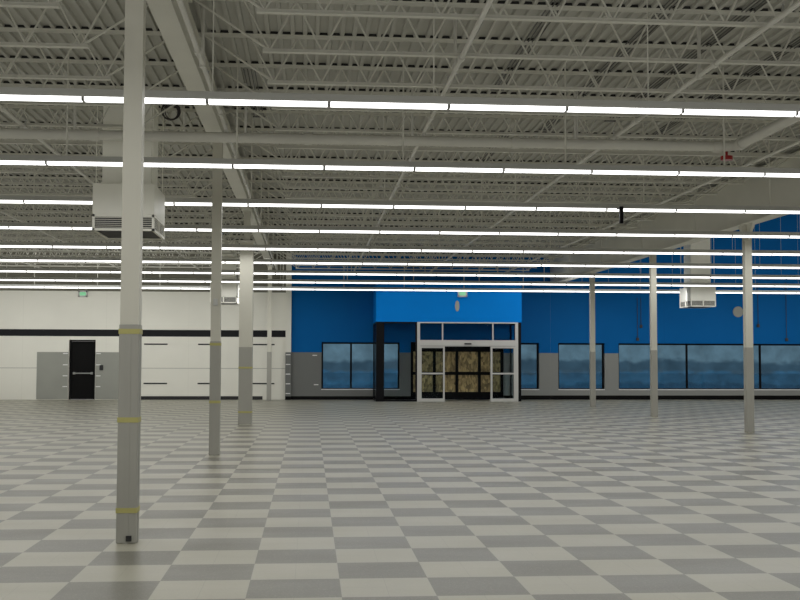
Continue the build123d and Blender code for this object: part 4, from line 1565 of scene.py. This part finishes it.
@dataclass(frozen=True)
class CeilingOddments(Assembly):
    """Red bell under the main's elbow, a sensor on an arm and a coil of cable."""

    bell_radius: float = 0.09
    bell_height: float = 0.06
    bell_drop: float = 0.13
    bell_shift: float = 0.10
    bell_inset: float = 0.08
    stem_radius: float = 0.02
    sensor_place: tuple[float, float] = (1.24, 3.78)
    sensor_half: float = 0.03
    sensor_edge: float = 0.006
    sensor_row: int = 3
    sensor_reach: float = 0.26
    arm: float = 0.01
    coil_place: tuple[float, float, float] = (-6.0, -7.9, 5.38)
    coil_radius: float = 0.15
    coil_wire: float = 0.014
    coil_pitch: float = 0.012
    coil_turns: int = 4
    coil_axis: tuple[float, float, float] = (-0.3, 1.0, -0.2)
    coil_swing: tuple[float, float, float] = (0.2, 0.0, 0.15)

    def bell(self) -> None:
        """Builds the bell."""
        shape, (low, high) = Shape(), node_box("sprinkler_elbow")
        x, y, foot = low.x + self.bell_shift, high.y - self.bell_inset, low.z - self.bell_drop
        top = foot + self.bell_height
        shape.rod((x, y, foot), (x, y, top), self.bell_radius, sides=16)
        shape.rod((x, y, top), (x, y, low.z + self.stem_radius), self.stem_radius, sides=8)
        shape.piece("alarm_bell", self.paints["red"], smooth_angle=40)

    def sensor(self) -> None:
        """Builds the sensor in front of a light row."""
        shape, row = Shape(), solids("strip_light_rows")[self.sensor_row].low
        (x, z), half, arm = self.sensor_place, self.sensor_half, self.arm
        front, top = row.y - self.sensor_reach, row.z + 4 * arm
        shape.box((x - half, front, FLOOR + z), (x + half, front + 2 * half, top),
                  self.sensor_edge)
        shape.box((x - arm, front + 2 * half - arm, top - 2 * arm), (x + arm, row.y + arm, top))
        shape.piece("row_sensor", self.paints["black_frame"])

    def build(self) -> None:
        """Builds the small fittings, the coil last."""
        self.bell()
        self.sensor()
        shape = Shape()
        centre = Vector(self.coil_place) + Vector((0, 0, FLOOR - self.coil_radius))
        for turn in range(self.coil_turns):
            shift = self.coil_pitch * turn
            axis = Vector(self.coil_axis) + turn * Vector(self.coil_swing)
            shape.ring(centre + Vector((0, shift, 0)), axis.normalized(),
                       self.coil_radius - shift, self.coil_wire, self.coil_wire, steps=18)
        shape.piece("cable_coil", self.paints["cable"])


@dataclass(frozen=True)
class Studio:
    """Pale floor, soft lamps and the camera."""

    focal_px: float = 1125.0
    image_width: float = 800.0
    sensor: float = 36.0
    clip: tuple[float, float] = (0.1, 500.0)
    eye: tuple[float, float, float] = (-3.89, -24.87, 1.66)
    yaw: float = 4.58
    pitch: float = 3.05
    roll: float = -0.16
    row_power: float = 215.0
    row_width: float = 0.3
    row_drop: float = 0.03
    near_wall: float = 3.0
    near_wall_share: float = 0.75
    near_wall_shift: float = 0.8
    column_room: float = 0.7
    side_room: float = 0.1
    up_power: float = 200.0
    up_height: float = 4.3
    up_room: float = 0.25
    wall_lamps: tuple[tuple[float, float, float], ...] = ((-10.4, 11.5, 118.0), (9.9, 12.4, 70.0))
    wall_lamp_distance: float = 4.2
    wall_lamp_height: float = 3.7
    wall_lamp_depth: float = 0.6
    sky_lamp_place: tuple[float, float, float] = (-22.0, 42.0, 36.0)
    sky_lamp_side: float = 26.0
    sky_lamp_power: float = 9500.0
    sky_colour: Colour = (0.98, 0.97, 0.92)
    sky_level: float = 0.55
    ground_half: float = 120.0
    ground_height: tuple[float, float] = (-0.02, -0.001)

    def lamp(self, name: str, place: Sequence[float], size: Sequence[float], power: float,
             turn: Sequence[float] = (0, 0, 0), glossy: bool = False) -> None:
        """Adds a soft rectangular lamp.

        Args:
            name: Name of the lamp.
            place: Centre of the lamp.
            size: Its two side lengths.
            power: Power in watts.
            turn: Rotation in radians, pointing down when it is zero.
            glossy: Whether it shows in reflections.
        """
        data = bpy.data.lights.new(name, "AREA")
        data.shape = "RECTANGLE"
        data.size, data.size_y = size
        data.energy = power
        made = bpy.data.objects.new(name, data)
        made.location = place
        made.rotation_euler = turn
        made.visible_camera = False
        made.visible_glossy = glossy
        bpy.context.scene.collection.objects.link(made)

    def lamps(self) -> None:
        """Lights the hall from its light rows, its roof from below, and its front wall."""
        width, depth, _ = HALL.size
        column_rows = [box.middle.y for box in solids("columns")]
        for number, row in enumerate(solids("strip_light_rows")):
            y, power = row.middle.y, self.row_power
            nearest = min(column_rows, key=lambda place: abs(place - y))
            if abs(nearest - y) < self.column_room:
                y = nearest + math.copysign(self.column_room, y - nearest)
            if y > WALL_INNER - self.near_wall:
                y, power = y - self.near_wall_shift, power * self.near_wall_share
            self.lamp(f"row_lamp_{number}", (0, y, row.low.z - self.row_drop),
                      (width - 2 * self.side_room, self.row_width), power, glossy=True)
        self.lamp("roof_lamp", (0, HALL.middle.y, FLOOR + self.up_height),
                  (width - 2 * self.up_room, depth - 2 * self.up_room), self.up_power,
                  (math.pi, 0, 0))
        for number, (x, length, power) in enumerate(self.wall_lamps):
            place = (x, WALL_INNER - self.wall_lamp_distance, FLOOR + self.wall_lamp_height)
            self.lamp(f"wall_lamp_{number}", place, (length, self.wall_lamp_depth), power,
                      (math.pi / 2, 0, 0))
        sky = Vector(self.sky_lamp_place)
        self.lamp("sky_lamp", sky, (self.sky_lamp_side, self.sky_lamp_side),
                  self.sky_lamp_power, sky.to_track_quat("Z", "Y").to_euler())

    def floor_and_sky(self) -> None:
        """Adds the pale ground and the even sky."""
        shape, half, (bottom, top) = Shape(), self.ground_half, self.ground_height
        shape.box((-half, -half, bottom), (half, half, top))
        data = bpy.data.meshes.new("studio_floor")
        shape.mesh.to_mesh(data)
        shape.mesh.free()
        pale = Paint("studio_floor", (0.72, 0.72, 0.72), 0.8, blotch=0.0, grain=0.0)
        data.materials.append(pale.build())
        ground = bpy.data.objects.new("studio_floor", data)
        bpy.context.scene.collection.objects.link(ground)
        world = bpy.data.worlds.new("studio_sky")
        world.use_nodes = True
        sky = world.node_tree.nodes["Background"]
        sky.inputs["Color"].default_value = (*self.sky_colour, 1.0)
        sky.inputs["Strength"].default_value = self.sky_level
        bpy.context.scene.world = world
        world.cycles_visibility.glossy = False

    def camera(self) -> None:
        """Puts the camera where the picture was taken."""
        data = bpy.data.cameras.new("camera")
        data.sensor_width = self.sensor
        data.lens = self.focal_px * self.sensor / self.image_width
        data.clip_start, data.clip_end = self.clip
        made = bpy.data.objects.new("camera", data)
        yaw, pitch = math.radians(self.yaw), math.radians(self.pitch)
        look = Vector((math.sin(yaw) * math.cos(pitch), math.cos(yaw) * math.cos(pitch),
                       math.sin(pitch)))
        made.location = self.eye
        roll = Quaternion(look, math.radians(self.roll))
        made.rotation_euler = (roll @ look.to_track_quat("-Z", "Y")).to_euler()
        bpy.context.scene.collection.objects.link(made)
        bpy.context.scene.camera = made

    def build(self) -> None:
        """Sets up the studio."""
        self.floor_and_sky()
        self.lamps()
        self.camera()
        bpy.context.scene.view_settings.view_transform = "Standard"


def main() -> None:
    """Builds the hall's looks piece by piece."""
    logging.basicConfig(level=logging.INFO, format="%(message)s")
    paints = dress_frame()
    for kind in (RoofDeck, OpenWebJoists, StripLights, ColumnTrim, AirDrops, PipeTrim,
                 DeckConduits, WallFittings, GlazingTrim, EntranceTrim, CeilingOddments):
        kind(paints).build()
        log.info("built %s", kind.__name__)
    Studio().build()


if __name__ == "__main__":
    main()
